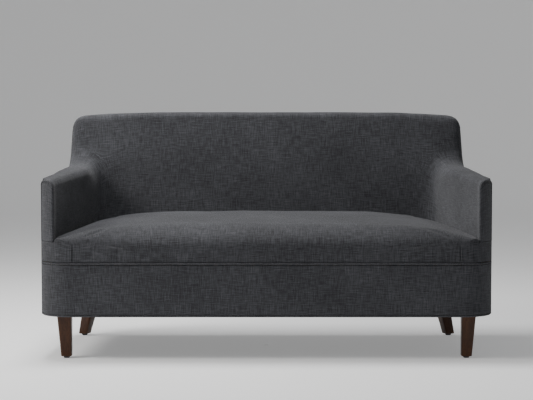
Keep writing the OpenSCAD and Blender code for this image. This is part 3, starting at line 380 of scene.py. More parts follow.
def one_grid(name, rows, shift, material, mirror=False, thick=COVER_THICK, inner=None, keep=None):
    """A piece made of one grid, or of the other side's copy of it, with its UVs shifted.

    The inner layer is inner, or lies thick below the grid. keep says which cells are filled.
    """
    grid = np.array(rows)
    uv = arc_uv(grid)
    if mirror:
        grid, uv = flip_x(grid), uv[::-1]
    skin = Skin()
    skin.add(grid, uv + shift, inner, keep)
    return skin.build(name, thick, material)


def ringed(name, rings, uv, material):
    """A closed piece of rings of points. uv has one more column, where the ring closes."""
    n, m = rings.shape[:2]
    faces, loops = [], []
    for i in range(n - 1):
        for j in range(m):
            a, b, k = i * m, i * (m + 1) + j, (j + 1) % m
            faces.append([a + j, a + k, a + m + k, a + m + j])
            loops.append([b, b + 1, b + m + 2, b + m + 1])
    for i in (0, n - 1):
        faces.append([i * m + j for j in range(m)])
        loops.append([i * (m + 1) + j for j in range(m)])
    return make_mesh(name, rings.reshape(-1, 3), faces, uv.reshape(-1, 2) * MM, loops, material)


def tube(name, path, radius, material, sides=12, up=(0, 0, 1.0)):
    """A round welt along local points, closed at its ends, with UVs in metres."""
    along = unit(np.gradient(path, axis=0))
    side = unit(np.cross(along, np.broadcast_to(up, along.shape)))
    top = np.cross(side, along)
    t = np.linspace(0, 2 * np.pi, sides, endpoint=False)[None, :, None]
    rings = path[:, None] + radius * (np.cos(t) * side[:, None] + np.sin(t) * top[:, None])
    along_path = running(length(np.diff(path, axis=0)))[:, None]
    around = radius * np.linspace(0, 2 * np.pi, sides + 1)
    uv = pack(along_path, around)
    return ringed(name, rings, uv, material)


# ---- shapes shared by several pieces
ARM_Y0 = CY + CORNER_R * math.sin(EDGE_A)
ARM_M, RAKE_M = math.tan(ARM_SLOPE), math.tan(RAKE)
MEET_Z = (ARM_Z + ARM_M * (BACK_Y - SEAT_REAR_Z * RAKE_M - ARM_Y0)) / (1 - ARM_M * RAKE_M)
MEET_Y = BACK_Y + (MEET_Z - SEAT_REAR_Z) * RAKE_M
FLARE_A0, FLARE_A1 = ARM_SLOPE, QUARTER - RAKE
FLARE_LEN = FLARE_R * math.tan((FLARE_A1 - FLARE_A0) / 2)
FLARE_Y0 = MEET_Y - FLARE_LEN * math.cos(FLARE_A0)
FLARE_CY = FLARE_Y0 - FLARE_R * math.sin(FLARE_A0)
FLARE_CZ = MEET_Z - FLARE_LEN * math.sin(FLARE_A0) + FLARE_R * math.cos(FLARE_A0)
STEP_Z = FLARE_CZ - FLARE_R * math.cos(FLARE_A1)
WING_TOP_Z = H - ARCH - BACK_R
LOW_Z = DECK_Z + 2 * GAP


def arm_top_z(y):
    return ARM_Z + ARM_M * (y - ARM_Y0)


def flare_point(angle, depth):
    """[y, z] on the sweep from the arm top to the back, at a depth below its surface."""
    r = FLARE_R + depth
    return FLARE_CY + r * np.sin(angle), FLARE_CZ - r * np.cos(angle)


def wing_x(z):
    return side_x(face_y(CX, z) + BACK_R, z)


WING_TOP_X = wing_x(WING_TOP_Z)
TOP_X = side_plan_x(rear_y(H)) - LEAN


def back_top(x):
    """Height of the back's outline at x, with its round upper corners."""
    corner = OUTLINE_R - chord(OUTLINE_R, above(np.abs(x) - (WING_TOP_X - OUTLINE_R)))
    return H - ARCH * (np.abs(x) / TOP_X) ** 5 - corner


def crease_x(z):
    """Half the inside back's width at z, where it meets the arms' inner faces."""
    x = inner_x(BACK_Y)
    for _ in range(6):
        x = inner_x(face_y(x, z))
    return x


def corner_front_y(x, inset=0.0):
    """Front face of the base at x, round the corner past its start."""
    return CY - chord(CORNER_R - inset, above(np.abs(x) - CX))


def rounding(s):
    """Depth of an arm's section below its top, s across from the inner face."""
    near, far = above(ROUND_IN - s), above(s - ARM_T + ROUND_OUT)
    return ROUND_IN - chord(ROUND_IN, near) + ROUND_OUT - chord(ROUND_OUT, far)


# ---- inside back and inside arms
MID_COLS, WING_COLS, EDGE_COLS = 84, 12, 9
FACE_ROWS, LOW_ROWS, ROLL_ROWS = 22, 34, 9
LINE_COLS, FLARE_COLS = 46, 20
IN_ROUND, FLAT_ROWS = 9, WING_COLS - 1
TOP_ROWS, REAR_ROWS = 3, 5
CROWD = 1.2  # how much the back's columns crowd towards the arms
LINE_POWER, END_POWER = 1.15, 5  # how late the arm's columns spread, and follow the crease
ARM_FRONT_Y = 25.4  # where the arm's inner face starts, behind its front
INSIDE_THICK, INTO_CORNER = 7, 2.4
VALLEY, POLE = (80, 300), (95, 150)  # how far the smoothing reaches, and its passes


def upper_back():
    """The inside back above the arms, over its top roll to the outside back."""
    half = MID_COLS // 2
    k = np.arange(-half - WING_COLS - EDGE_COLS, half + WING_COLS + EDGE_COLS + 1)
    n, side = np.abs(k), np.sign(k)
    mid = crease_x(STEP_Z)
    a = np.clip((n - half - WING_COLS) / EDGE_COLS, 0, 1) * QUARTER
    ca, sa = np.cos(a), np.sin(a)

    def column_x(w):
        flat = np.where(n <= half, mid * np.sin(n / half * CROWD) / math.sin(CROWD),
                        mix(mid, w - BACK_R, np.clip((n - half) / WING_COLS, 0, 1)))
        return side * np.where(n > half + WING_COLS, w - BACK_R + BACK_R * sa, flat)

    x_top = column_x(WING_TOP_X)
    top = back_top(x_top)
    roll_z = top - BACK_R
    start_z = roll_z + BACK_R * math.sin(RAKE)
    depth = BACK_R * (1 - ca)
    rows = []
    for f in np.linspace(0, 1, FACE_ROWS + 1):
        x = column_x(wing_x(mix(STEP_Z, WING_TOP_Z, f)))
        z = mix(STEP_Z, start_z, f)
        y = face_y(x, z) + depth * math.cos(RAKE)
        rows.append(pack(x, y, z - depth * math.sin(RAKE) * (1 - f)))
    roll_y = face_y(x_top, start_z) + BACK_R * math.cos(RAKE)
    wing_y = face_y(CX, WING_TOP_Z) + BACK_R

    def drawn_in(y, z):
        x = x_top * (1 - above(y - wing_y) * math.tan(TAPER) / SIDE_X0)
        return pack(x, y, z)

    for b in mix(RAKE, QUARTER, shares(ROLL_ROWS, 1)):
        rows.append(drawn_in(roll_y - BACK_R * math.cos(b) * ca, roll_z + BACK_R * math.sin(b)))
    rear_z = top - REAR_R
    y_flat, y_turn = rows[-1][:, 1], rear_y(rear_z) - REAR_R
    for f in shares(TOP_ROWS, 1):
        rows.append(drawn_in(mix(y_flat, y_turn, f), top))
    for q in shares(REAR_ROWS, 1) * QUARTER:
        rows.append(drawn_in(y_turn + REAR_R * math.sin(q), rear_z + REAR_R * math.cos(q)))
    return np.array(rows)


def lower_back(first_row):
    """The inside back between the arms, from the seat up to the row where the wings start."""
    share = crowded(MID_COLS + 1, CROWD)
    rows = []
    for z in mix(LOW_Z, STEP_Z, shares(LOW_ROWS)[:-1]):
        x = share * crease_x(z)
        rows.append(pack(x, face_y(x, z), z))
    outer = WING_COLS + EDGE_COLS
    return np.array(rows + [first_row[outer:-outer]])


def arm_patch(crease, wing_row):
    """The right inside arm: rows go up the inner face and over the top, columns to the back."""
    cols = LINE_COLS + FLARE_COLS
    k = np.arange(cols + 1)
    f = np.clip(k / LINE_COLS, 0, 1) ** LINE_POWER
    sweep = np.clip((k - LINE_COLS) / FLARE_COLS, 0, 1)
    angle = mix(FLARE_A0, FLARE_A1, sweep)
    ri = ROUND_IN * (1 - smooth(0, 1, sweep)) + 1e-6
    ro = mix(ROUND_OUT, BACK_R, sweep)

    def point(from_inside, s, depth):
        """Points s across from one edge of the arm's section, at a depth below its top."""
        q = s / ARM_T if from_inside else 1 - s / ARM_T
        fx = mix(ARM_IN_X, CX + ARM_EDGE_R * math.cos(EDGE_A), np.clip(q, 0, 1))
        fy = np.maximum(corner_front_y(fx, ARM_INSET), ARM_FRONT_Y if from_inside else 0)
        line_y = mix(fy, FLARE_Y0, f)
        fl_y, fl_z = flare_point(angle, depth)
        y = np.where(k <= LINE_COLS, line_y, fl_y)
        z = np.where(k <= LINE_COLS, arm_top_z(line_y) - depth, fl_z)

        def base_x(yy):
            return inner_x(yy) + s if from_inside else side_x(yy, np.minimum(z, STEP_Z), s)
        return pack(base_x(y) + (fx - base_x(fy)) * (1 - f) ** 4, y, z)

    top_in = point(True, 0 * ri, ri)
    along = running(np.hypot(np.diff(top_in[:, 1]), np.diff(top_in[:, 2])))
    foot_y = mix(ARM_FRONT_Y, face_y(crease[0, 0], LOW_Z), along / along[-1])
    rows = []
    for t in shares(LOW_ROWS)[:-1]:
        y, z = mix(foot_y, top_in[:, 1], t), mix(LOW_Z, top_in[:, 2], t)
        rows.append(pack(inner_x(y), y, z))
    for a in shares(IN_ROUND) * QUARTER:
        rows.append(point(True, ri - ri * math.cos(a), ri - ri * math.sin(a)))
    flat_in, flat_out = point(True, ri, 0 * ri), point(False, ro, 0 * ro)
    for t in shares(FLAT_ROWS + 1, 1)[:-1]:
        rows.append(mix(flat_in, flat_out, t))
    for b in shares(EDGE_COLS) * QUARTER:
        rows.append(point(False, ro - ro * math.sin(b), ro - ro * math.cos(b)))
    grid = np.array(rows)
    # the last column runs up the crease, waits at the pole and crosses the wing
    end = chain(crease[:-1], np.repeat(wing_row[:1], IN_ROUND, 0), wing_row)
    return grid + (end - grid[:, -1])[:, None] * ((k / cols) ** END_POWER)[None, :, None]


def inside_upholstery(material):
    """The inside back and both inside arms, one skin that sweeps from each arm into the back."""
    up = upper_back()
    low = lower_back(up[0])
    # the arm's top rows match the wing's columns: flat cells first, then the rounded edge
    arm = arm_patch(low[:, -1], up[0][-(WING_COLS + EDGE_COLS + 1):])
    u_up, v_up, v_low = up[0, :, 0] * MM, arc_uv(up)[..., 1], arc_uv(low)[..., 1]
    skin = Skin()
    skin.add(up, pack(u_up, v_up + v_low.max()))
    skin.add(low, np.stack([low[..., 0] * MM, v_low], -1))
    arm, uv = arm[::-1], arc_uv(arm)[::-1]
    skin.add(arm, uv + [0.9, 0.013])
    skin.add(flip_x(arm), uv[::-1] * [1, -1] + [0.9, 2.1])
    skin.weld()
    soften_creases(skin, low[:, -1])
    # at the arm's outer front corner the cells are slivers, so the inner layer is set
    v = skin.verts
    x, y, z = v.T
    corner = (np.abs(x) > 762) & (y < 120) & (z > 590)
    skin.inner_verts[corner] = (v + INTO_CORNER * pack(-np.sign(x), 1, -1.8))[corner]
    return skin.build("inside_upholstery", INSIDE_THICK, material)


def soften_creases(skin, crease):
    """Rounds the valley between arm and back, and blends the sweep into the wing."""
    x, y, z = skin.verts.T
    folded = pack(np.abs(x), y, z)
    near = length(folded[:, None] - crease[::2]).min(1)
    pole = length(folded - crease[-1])
    for away, (reach, times) in ((near, VALLEY), (pole, POLE)):
        skin.relax(bell(away, reach), times)
    v = skin.verts
    soft = smooth(0, 12, np.abs(v[:, 2] - LOW_Z))
    swell = ripple(v, 140, 3.0) * 0.9 + ripple(v * [1, 1, 1.6], 60, 11.0) * 0.35
    skin.verts = v + skin.normals() * (swell * soft - 0.5)[:, None]


# ---- seat, ears and arm fronts
SEAT_HALF = ARM_IN_X - 2 * GAP
UPRIGHT_X, END_X = (370, 705), (680, 742)  # where the front turns upright, and ends
END_ROLL = (36.0, 9.0)  # the front roll's depth before and at the ends
EDGE_TURN, HOLLOW, EAR_SEAM = (7.0, 16.0), 3.2, 3.4  # depths
SEAT_PRESSURE, SEAT_CAP, SEAT_CROWD = 4.0, 5.0, 1.42
SIDE_POWER = 4.6  # the crown's fall towards the arms
SEAT_CORNER_R = 84.0
EAR_SEAM_X = 678.0
SEAM_COLS = np.array([-7, -4.5, -3, -2, -1, 0, 1, 2, 3, 4.5, 7])
SEAT_FOOT = ((3.4, 344.0), (1.3, 345.0), (0.3, 347.2))  # inset and height over the welt
SEAT_FRONT = (0.06, 0.15, 0.28, 0.42, 0.56, 0.7, 0.85)  # rows up to the front roll
SEAT_ROLL, SEAT_TOP = 26, 44  # rows round the roll and back over the top


def room(x, y, z):
    """Distances from seat points to the inside arm and to the inside back."""
    return inner_x(y) - np.abs(x), face_y(x, z) - y


def seat_rows(u):
    """The seat's plain form in rows from the welt over the front roll to the back."""
    drop_at, out = np.abs(u) ** SIDE_POWER, np.abs(u) * SEAT_HALF
    # towards the ears the front stands upright and turns over tightly, level with the ear
    upright = smooth(*UPRIGHT_X, out)
    end_d = mix(*END_ROLL, smooth(*END_X, out))
    roll_d = mix(ROLL_D, end_d, upright)
    drop = drop_at * DROP_FRONT
    foot_z = mix(ROLL_Z - 0.5 * drop, SEAT_FRONT_Z - drop - 0.9 * end_d, upright)
    x = u * SEAT_HALF
    rows = [pack(x, corner_front_y(x, d), z) for d, z in SEAT_FOOT]
    rows += [pack(x, corner_front_y(x), mix(SEAT_FOOT[-1][1], foot_z, f)) for f in SEAT_FRONT]
    for i in range(SEAT_ROLL + SEAT_TOP + 1):
        a = min(i / SEAT_ROLL, 1) * QUARTER
        g = max(0.0, (i - SEAT_ROLL) / SEAT_TOP)
        drop = drop_at * mix(DROP_FRONT, DROP_REAR, g)
        mid_z = mix(ROLL_Z - 0.5 * drop, foot_z, upright * (1 - g))
        top_z = mix(SEAT_FRONT_Z, SEAT_REAR_Z, 1 - (1 - g) ** 2) - drop
        z = mix(mid_z, top_z, math.sin(a))
        back_y = mix(roll_d, face_y(0, z) - 2 * GAP, g)
        y = roll_d * (1 - math.cos(a)) if i <= SEAT_ROLL else back_y
        x = u * (inner_x(y) - 2 * GAP)
        y = np.maximum(y, corner_front_y(x))
        if i > SEAT_ROLL:
            y = mix(y, face_y(x, z) - 2 * GAP, g ** 4)
        rows.append(pack(x, y, z))
    return np.array(rows)


def tuck_seat_edges(grid):
    """Rounds the rear corners, and turns the edges down beside the arms and the back."""
    r = SEAT_CORNER_R
    x, y, z = axes(grid)
    side, rear = room(x, y, z)
    off1, off2 = above(r - side), above(r - rear)
    pull = np.where((off1 > 0) & (off2 > 0), np.maximum(1, np.hypot(off1, off2) / r), 1)
    x = x - np.sign(x) * (off1 - off1 / pull)
    y = y - (off2 - off2 / pull)
    side, rear = room(x, y, z)
    both = r - np.hypot(above(r - side), above(r - rear))
    edge = above(np.where((side < r) & (rear < r), both, np.minimum(side, rear)))
    turn = mix(*EDGE_TURN, smooth(30, 170, y))
    near = np.clip(turn - edge, 0, turn)
    z = z - (turn - chord(turn, near)) * smooth(372, 400, z)
    return pack(x, y, z)


def seat_relief(grid):
    """How far the seat's cloth stands off its plain form: swells, hollows, pulls and ear seams."""
    x, y, z = axes(grid)
    side, rear = room(x, y, z)
    top = smooth(352, 372, z) * smooth(0, 26, side) * smooth(0, 30, rear)
    swell = ripple(grid, 170, 5.0) * 1.5 + ripple(grid, 70, 9.0) * 0.5
    # faint hollows where two people sit
    sit = bell(np.abs(x) - 330, 200) * bell(y - 330, 150) * smooth(440, 470, z)
    pulls = np.sin(x / 23 + 3 * ripple(grid * [1, 0.2, 0.2], 120, 2.0)) * bell(z - 362, 13)
    # the ear's seam is a groove with a slight swell outside it
    beside = np.abs(x) - EAR_SEAM_X
    seam = EAR_SEAM * bell(beside, 1.7) - 1.1 * bell(beside - 4.5, 2.6)
    seam *= smooth(404, 390, z) * smooth(344, 350, z)
    inset = mix(1.1, 0.1, smooth(690, 735, np.abs(x)))
    return np.minimum(top * (swell - HOLLOW * sit) - inset + 0.35 * pulls - seam, 0.6)


def seat_pad(material):
    """The tight seat: a crowned top that rolls over the front edge, down to the welt."""
    u = crowded(161, SEAT_CROWD)
    seam_u = (EAR_SEAM_X + SEAM_COLS) / SEAT_HALF
    u = u[np.min(np.abs(np.abs(u)[:, None] - seam_u), axis=1) > 0.004]
    u = np.sort(chain(u, seam_u, -seam_u))
    plain = tuck_seat_edges(seat_rows(u))
    normal = normals(plain)
    normal *= np.sign(normal[..., 2:] - normal[..., 1:2])
    grid = plain + normal * seat_relief(plain)[..., None]
    side, rear = room(*axes(plain))
    free = smooth(10, 170, side) * smooth(0, 60, rear) * smooth(352, 380, plain[..., 2])
    grid = puffed(grid, 1 - free, SEAT_PRESSURE, SEAT_CAP)
    n, m = grid.shape[:2]
    base_y = mix(corner_front_y(grid[..., 0]) + 15, face_y(0, DECK_Z) - 6,
                 np.linspace(0, 1, n)[:, None] ** 1.2)
    base = pack(u * (inner_x(base_y) - 4), base_y, DECK_Z + 1)
    v = running(length(np.diff(grid[:, m // 2], axis=0)))[:, None]
    skin = Skin()
    skin.add(grid, pack(plain[..., 0], v) * MM, base)
    return skin.build("seat_pad", 0, material)


INNER_R = 6.0  # the soft edge where the arm front turns onto the arm's inner face
FILLET_X = ARM_IN_X + INNER_R
FILLET_Y = CY - math.sqrt((CORNER_R - INNER_R) ** 2 - (FILLET_X - CX) ** 2)
FILLET_A = math.atan2(FILLET_Y - CY, FILLET_X - CX)
ARM_SCALE = ARM_T / (CX + ARM_EDGE_R * math.cos(EDGE_A) - ARM_IN_X)


def front_plan(cols):
    """Plan of the arm's front: round the inner edge, then along the corner's circle."""
    b = np.linspace(math.pi, math.pi * 2 + FILLET_A, 9)[:-1]
    return chain(arc(FILLET_X, FILLET_Y, INNER_R, b),
                 corner(np.linspace(FILLET_A, EDGE_A, cols)))


def push_in(plan, depth):
    """Plan points moved back from the front by a depth, square to the plan's line."""
    t = unit(np.gradient(plan, axis=0))
    return plan + depth[:, None] * pack(-t[:, 1], t[:, 0])


def section_share(angle):
    """How far across the arm's section a point at this angle round the corner lies."""
    return np.clip((CX + ARM_EDGE_R * np.cos(angle) - ARM_IN_X) * ARM_SCALE, 0, ARM_T)


def arm_front(name, mirror, material):
    """The narrow panel on the arm's front, inside its piping."""
    plan = front_plan(42)
    s = section_share(np.arctan2(plan[:, 1] - CY, plan[:, 0] - CX))
    outline = arm_top_z(plan[:, 1]) - rounding(s)
    rim = np.array([3.0, 1.4, 0.5, 0.1])
    steps = chain([0, 0.006, 0.014, 0.026], np.linspace(0.05, 0.95, 34),
                  [0.972, 0.985, 0.994, 1])
    side_tuck, tucks = ends(len(plan), last=rim[::-1]), ends(len(steps), 0.3 * rim, rim[::-1])
    rows = []
    for f, tuck in zip(steps, tucks):
        crown = 0.7 * math.sin(math.pi * f) * np.sin(np.pi * s / ARM_T)
        p = push_in(plan, np.maximum(side_tuck, tuck) - crown)
        rows.append(lift(p, mix(EAR_Z + 0.6, outline - 7.0, f)))
    return one_grid(name, rows, [0.31, 0.77], material, mirror)


def seat_ear(name, mirror, material):
    """The seat's front carried round the corner below the arm."""
    round_plan = front_plan(30)
    a0 = -math.acos((ARM_IN_X - 2.4 - CX) / CORNER_R)
    plain = corner(np.linspace(a0, EDGE_A, len(round_plan)))
    side = ends(len(plain), [1.5], [0.1, 0.5, 1.4, 3.0])
    levels = chain([z for _, z in SEAT_FOOT], np.linspace(351, 411, 22),
                   [413.6, 415.4, 416.8, 418.4])
    tucks = chain([d for d, _ in SEAT_FOOT], np.zeros(22), [0.1, 0.6, 1.8, 3.4])
    rows = []
    for z, tuck in zip(levels, tucks):
        plan = mix(plain, round_plan, smooth(411.5, 416.6, z))
        rows.append(lift(push_in(plan, np.maximum(side, tuck)), z))
    return one_grid(name, rows, [0.744, 0], material, mirror)


# ---- outside panels and the base band
PANEL_Z, PANEL_TURN = BASE_Z + 0.5, 6.0  # lower edge, and turn onto the outside back
BAND_END = EDGE_A - 0.0014  # where the band and the seat's piping end, round the corner
BAND_TOP, BAND_LOW, BAND_DEPTH, BAND_TURN_R = DECK_Z, BASE_Z + 4, 6.4, 12


def outside_arm(name, mirror, material):
    """The outside of one arm and wing, from the arm front round the side to the outside back."""
    front = chain(CY + CORNER_R * np.sin(np.linspace(EDGE_A + 0.011, TAPER, 14)),
                  np.linspace(SIDE_Y0, FLARE_Y0, 34)[1:])
    sweep = np.linspace(0, 1, 19)[1:]
    fy, fz = flare_point(mix(FLARE_A0, FLARE_A1, sweep), mix(ROUND_OUT, BACK_R, sweep) + GAP)
    corner_z = H - ARCH - OUTLINE_R - 4 - GAP
    wz = np.linspace(fz[-1], corner_z, 9)[1:]
    wy = face_y(CX, wz) + BACK_R + GAP
    last_y = rear_y(corner_z) - PANEL_TURN
    edge_y = chain(front, fy, wy, np.linspace(wy[-1], last_y, 7)[1:])
    edge_z = chain(arm_top_z(front) - ROUND_OUT - GAP, fz, wz, np.full(6, corner_z))
    # below, the last columns draw back to the raked rear edge
    late_y = FLARE_Y0 - 200
    span = (edge_y - late_y) / (last_y - late_y)
    foot_y = mix(late_y, rear_y(PANEL_Z) - PANEL_TURN, span)
    foot_y = np.where(edge_y > late_y, foot_y, edge_y)
    steps = chain([0, 0.01], np.linspace(0.03, 0.97, 40), [0.985, 0.994, 1])
    tucks, side_tuck = ends(len(steps), last=[0.2, 0.8, 2.0]), ends(len(edge_y), [2.2, 0.9, 0.2])
    crown = 0.5 * np.sin(np.pi * np.arange(len(edge_y)) / len(edge_y))
    t = np.linspace(0, QUARTER, 7)[1:]
    rows = []
    for f, tuck in zip(steps, tucks):
        y, z = mix(foot_y, edge_y, f), mix(PANEL_Z, edge_z, f)
        x = side_x(y, z) - np.maximum(side_tuck, tuck) + math.sin(math.pi * f) * crown
        turn = arc(side_x(y[-1], z[-1]) - PANEL_TURN - tuck, y[-1], PANEL_TURN, t)
        rows.append(chain(pack(x, y, z), lift(turn, z[-1])))
    return one_grid(name, rows, [1.3, 0.4], material, mirror)


def outside_back(material):
    """The outside back, from the base up to the rolled top."""
    edge_r, z1 = PANEL_TURN + GAP, H - ARCH - OUTLINE_R - GAP
    w0, w1 = (side_x(rear_y(z), z) - edge_r for z in (PANEL_Z, z1))
    u = crowded(97)
    top = back_top(u * WING_TOP_X) - REAR_R - 4 * GAP
    steps = chain([0, 0.008, 0.02], np.linspace(0.05, 0.95, 36), [0.98, 0.992, 1])
    tucks = ends(len(steps), [0.6, 0.2], [0.8, 2.2])
    side_tuck = ends(len(u), [2.2, 0.9, 0.2], [0.2, 0.9, 2.2])
    rows = []
    for f, tuck in zip(steps, tucks):
        z = mix(PANEL_Z, top, f)
        x = u * mix(w0, w1, np.clip((z - PANEL_Z) / (z1 - PANEL_Z), 0, 1))
        crown = 1.2 * math.sin(math.pi * f) * (1 - u ** 4)
        rows.append(pack(x, rear_y(z) - np.maximum(side_tuck, tuck) + crown - 1.2, z))
    grid = np.array(rows)[:, ::-1]
    inside = smooth(0, 60, w1 - np.abs(grid[..., 0])) * smooth(0, 60, grid[..., 2] - PANEL_Z)
    grid[..., 1] += ripple(grid, 190, 6.0) * 0.5 * inside
    return one_grid("outside_back_cover", grid, [0.2, 1.1], material)


def front_line(inset, end):
    """Plan points round the front, from the left side to the right."""
    right = corner(np.linspace(end, -QUARTER, 26), inset)
    xs = np.linspace(CX, -CX, int(2 * CX / 14))[1:-1]
    return chain(right, pack(xs, inset), flip_x(right))[::-1]


def base_band(material):
    """The band under the seat's welt, its lower edge turned under and its padding behind."""
    turn, r = math.pi / 3, BAND_TURN_R
    outline = [(d, BAND_TOP - down) for d, down in ((3.0, 0), (1.2, 0.8), (0.3, 2.6), (0, 5.5))]
    outline += [(0, z) for z in np.linspace(322, 178, 14)]
    outline += [(r * (1 - math.cos(a)), BAND_LOW + r * (math.sin(turn) - math.sin(a)))
                for a in np.linspace(0, turn, 7)]
    outline.reverse()
    grid = np.array([lift(front_line(d, BAND_END), z) for d, z in outline])
    back = front_line(BAND_DEPTH, BAND_END)
    base = np.array([lift(back, min(max(z, BAND_LOW), BAND_TOP - 0.6)) for _, z in outline])
    x, y, z = axes(grid)
    pull = np.sin(x / 19 + 4 * ripple(grid * [1, 1, 0.1], 150, 4.0)) * smooth(300, 334, z)
    move = ripple(grid, 110, 8.0) * 0.5 - 0.7 + 0.25 * pull
    move *= smooth(170, 200, z) * smooth(335, 322, z)
    out = unit(pack(np.sign(x) * above(np.abs(x) - CX), np.minimum(y - CY, -1), 0))
    grid = grid + out * move[..., None]
    return one_grid("base_band_cover", grid, [0.05, 0.5], material, inner=base)


def seat_welt(material):
    """The piping between the seat and the band."""
    return tube("seat_piping", lift(front_line(1.0, BAND_END), WELT_Z), WELT_R, material)


def base_welt(material):
    """The piping that closes the lower edge all the way round."""
    inset, bend = 5.6, 8.0
    y_end = rear_y(BASE_Z) - inset - bend
    y_side = np.linspace(SIDE_Y0, y_end, 30)[1:]
    side = pack(side_plan_x(y_side, inset / math.cos(TAPER)), y_side)
    turn = arc(side[-1, 0] - bend, y_end, bend, np.linspace(0.06, QUARTER, 9))
    rear = pack(np.linspace(turn[-1, 0], 0, 40)[1:], turn[-1, 1])
    right = chain(side, turn, rear)
    line = chain(flip_x(right), front_line(inset, TAPER), right)
    return tube("base_piping", lift(line, BASE_Z + 1.0), WELT_R, material)


def arm_welt(name, mirror, material):
    """The piping over the arm front's top and down its outer edge."""
    e, inset = WELT_R + GAP, 1.0
    r = CORNER_R - inset
    a0 = -math.acos((ARM_IN_X - CX) / ARM_EDGE_R)
    a = mix(a0, EDGE_A, (1 - np.cos(np.linspace(0, math.pi, 60))) / 2)
    z = arm_top_z(CY + r * np.sin(a)) - rounding(section_share(a))
    z = chain(z, np.linspace(z[-1], EAR_Z, 30)[1:])
    w = r * chain(a, np.full(29, EDGE_A))
    tw, tz = np.gradient(w), np.gradient(z)
    step = np.hypot(tw, tz)
    w, z = w + e * tz / step, z - e * tw / step
    keep = (z >= EAR_Z) & (w <= r * EDGE_A - e + 0.3)
    path, sign = lift(corner(w[keep] / r, inset), z[keep]), -1 if mirror else 1
    return tube(name, path * [sign, 1, 1], WELT_R, material, up=(0.35 * sign, -0.8, 0.1))


# ---- legs and underside
LEG_FOOT, LEG_TOP, LEG_EDGE = 37.0, 50.0, 6.0  # widths, and the radius of the edges
LEG_HOLE, DECK_HALF = 30, 635  # half the dust cloth's hole round a leg, and the deck's width


def leg(name, foot, top, turn, side, material):
    """A tapered square leg with rounded edges and a small chamfer at its foot."""
    levels = [(7.0, -1.2), (8.2, 0), *((z, 0) for z in np.linspace(14, 150, 18)),
              (BASE_Z - 0.4, 0)]
    spin = [[math.cos(turn), math.sin(turn)], [-math.sin(turn), math.cos(turn)]]
    edge = np.linspace(0, QUARTER, 6)
    rings = []
    for z, trim in levels:
        f = (z - 8) / (BASE_Z - 9)
        flat = mix(LEG_FOOT, LEG_TOP, f) / 2 + trim - LEG_EDGE
        ring = [arc(sx * flat, sy * flat, LEG_EDGE, q * QUARTER + edge)
                for q, (sx, sy) in enumerate(((1, 1), (-1, 1), (-1, -1), (1, -1)))]
        ring = (chain(*ring) + mix(np.array(foot), 0, f)) @ np.array(spin) + top
        rings.append(lift(ring * [side, 1], z))
    rings = np.array(rings)
    # the girth, and another stretch of grain for each side
    around = np.linspace(0, 4 * 44, rings.shape[1] + 1) + 300 * (side + 1)
    uv = pack(around, rings[:, :1, 2])
    return ringed(name, rings, uv, material)


def flat_cloth(name, grid, thick, material, keep=None):
    return one_grid(name, grid, 0, material, inner=grid - [0, 0, thick], keep=keep)


def dust_cover(material, leg_tops):
    """The black cloth under the seat, slightly slack, with a hole round each leg."""
    inset = 10.0
    y = np.linspace(inset, rear_y(BASE_Z) - inset, 66)[:, None]
    grid = pack(crowded(141) * side_plan_x(y, inset), y, BASE_Z + 2.3)
    slack = smooth(0, 60, np.minimum(y - inset, y[-1] - y))
    grid[..., 2] -= 0.9 * np.abs(ripple(grid, 160, 2.0)) * slack
    mid = (grid[:-1, :-1] + grid[1:, 1:]) / 2
    keep = np.ones(mid.shape[:2], bool)
    for x, y in leg_tops:
        keep &= np.maximum(np.abs(np.abs(mid[..., 0]) - x), np.abs(mid[..., 1] - y)) > LEG_HOLE
    return flat_cloth("dust_cloth", grid, 0.7, material, keep)


def deck_cloth(material):
    """The cloth over the seat's springs."""
    y = np.linspace(27.5, face_y(0, DECK_Z) - 1, 40)[:, None]
    x = np.linspace(-DECK_HALF, DECK_HALF, 90)
    return flat_cloth("deck_cloth", pack(x, y, DECK_Z - 0.7), 0.8, material)


def burlap(material):
    """The cloth over the back's springs."""
    lo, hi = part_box("back_burlap")
    f = np.linspace(0, 1, 30)[:, None]
    z = mix(lo.z / MM + 1, hi.z / MM - 1, f)
    y = mix(lo.y, hi.y, f) / MM + MID_Y
    x = np.linspace(-1, 1, 80) * (hi.x / MM - 14)
    return one_grid("back_burlap_cloth", pack(x, y, z), 0, material, thick=1)


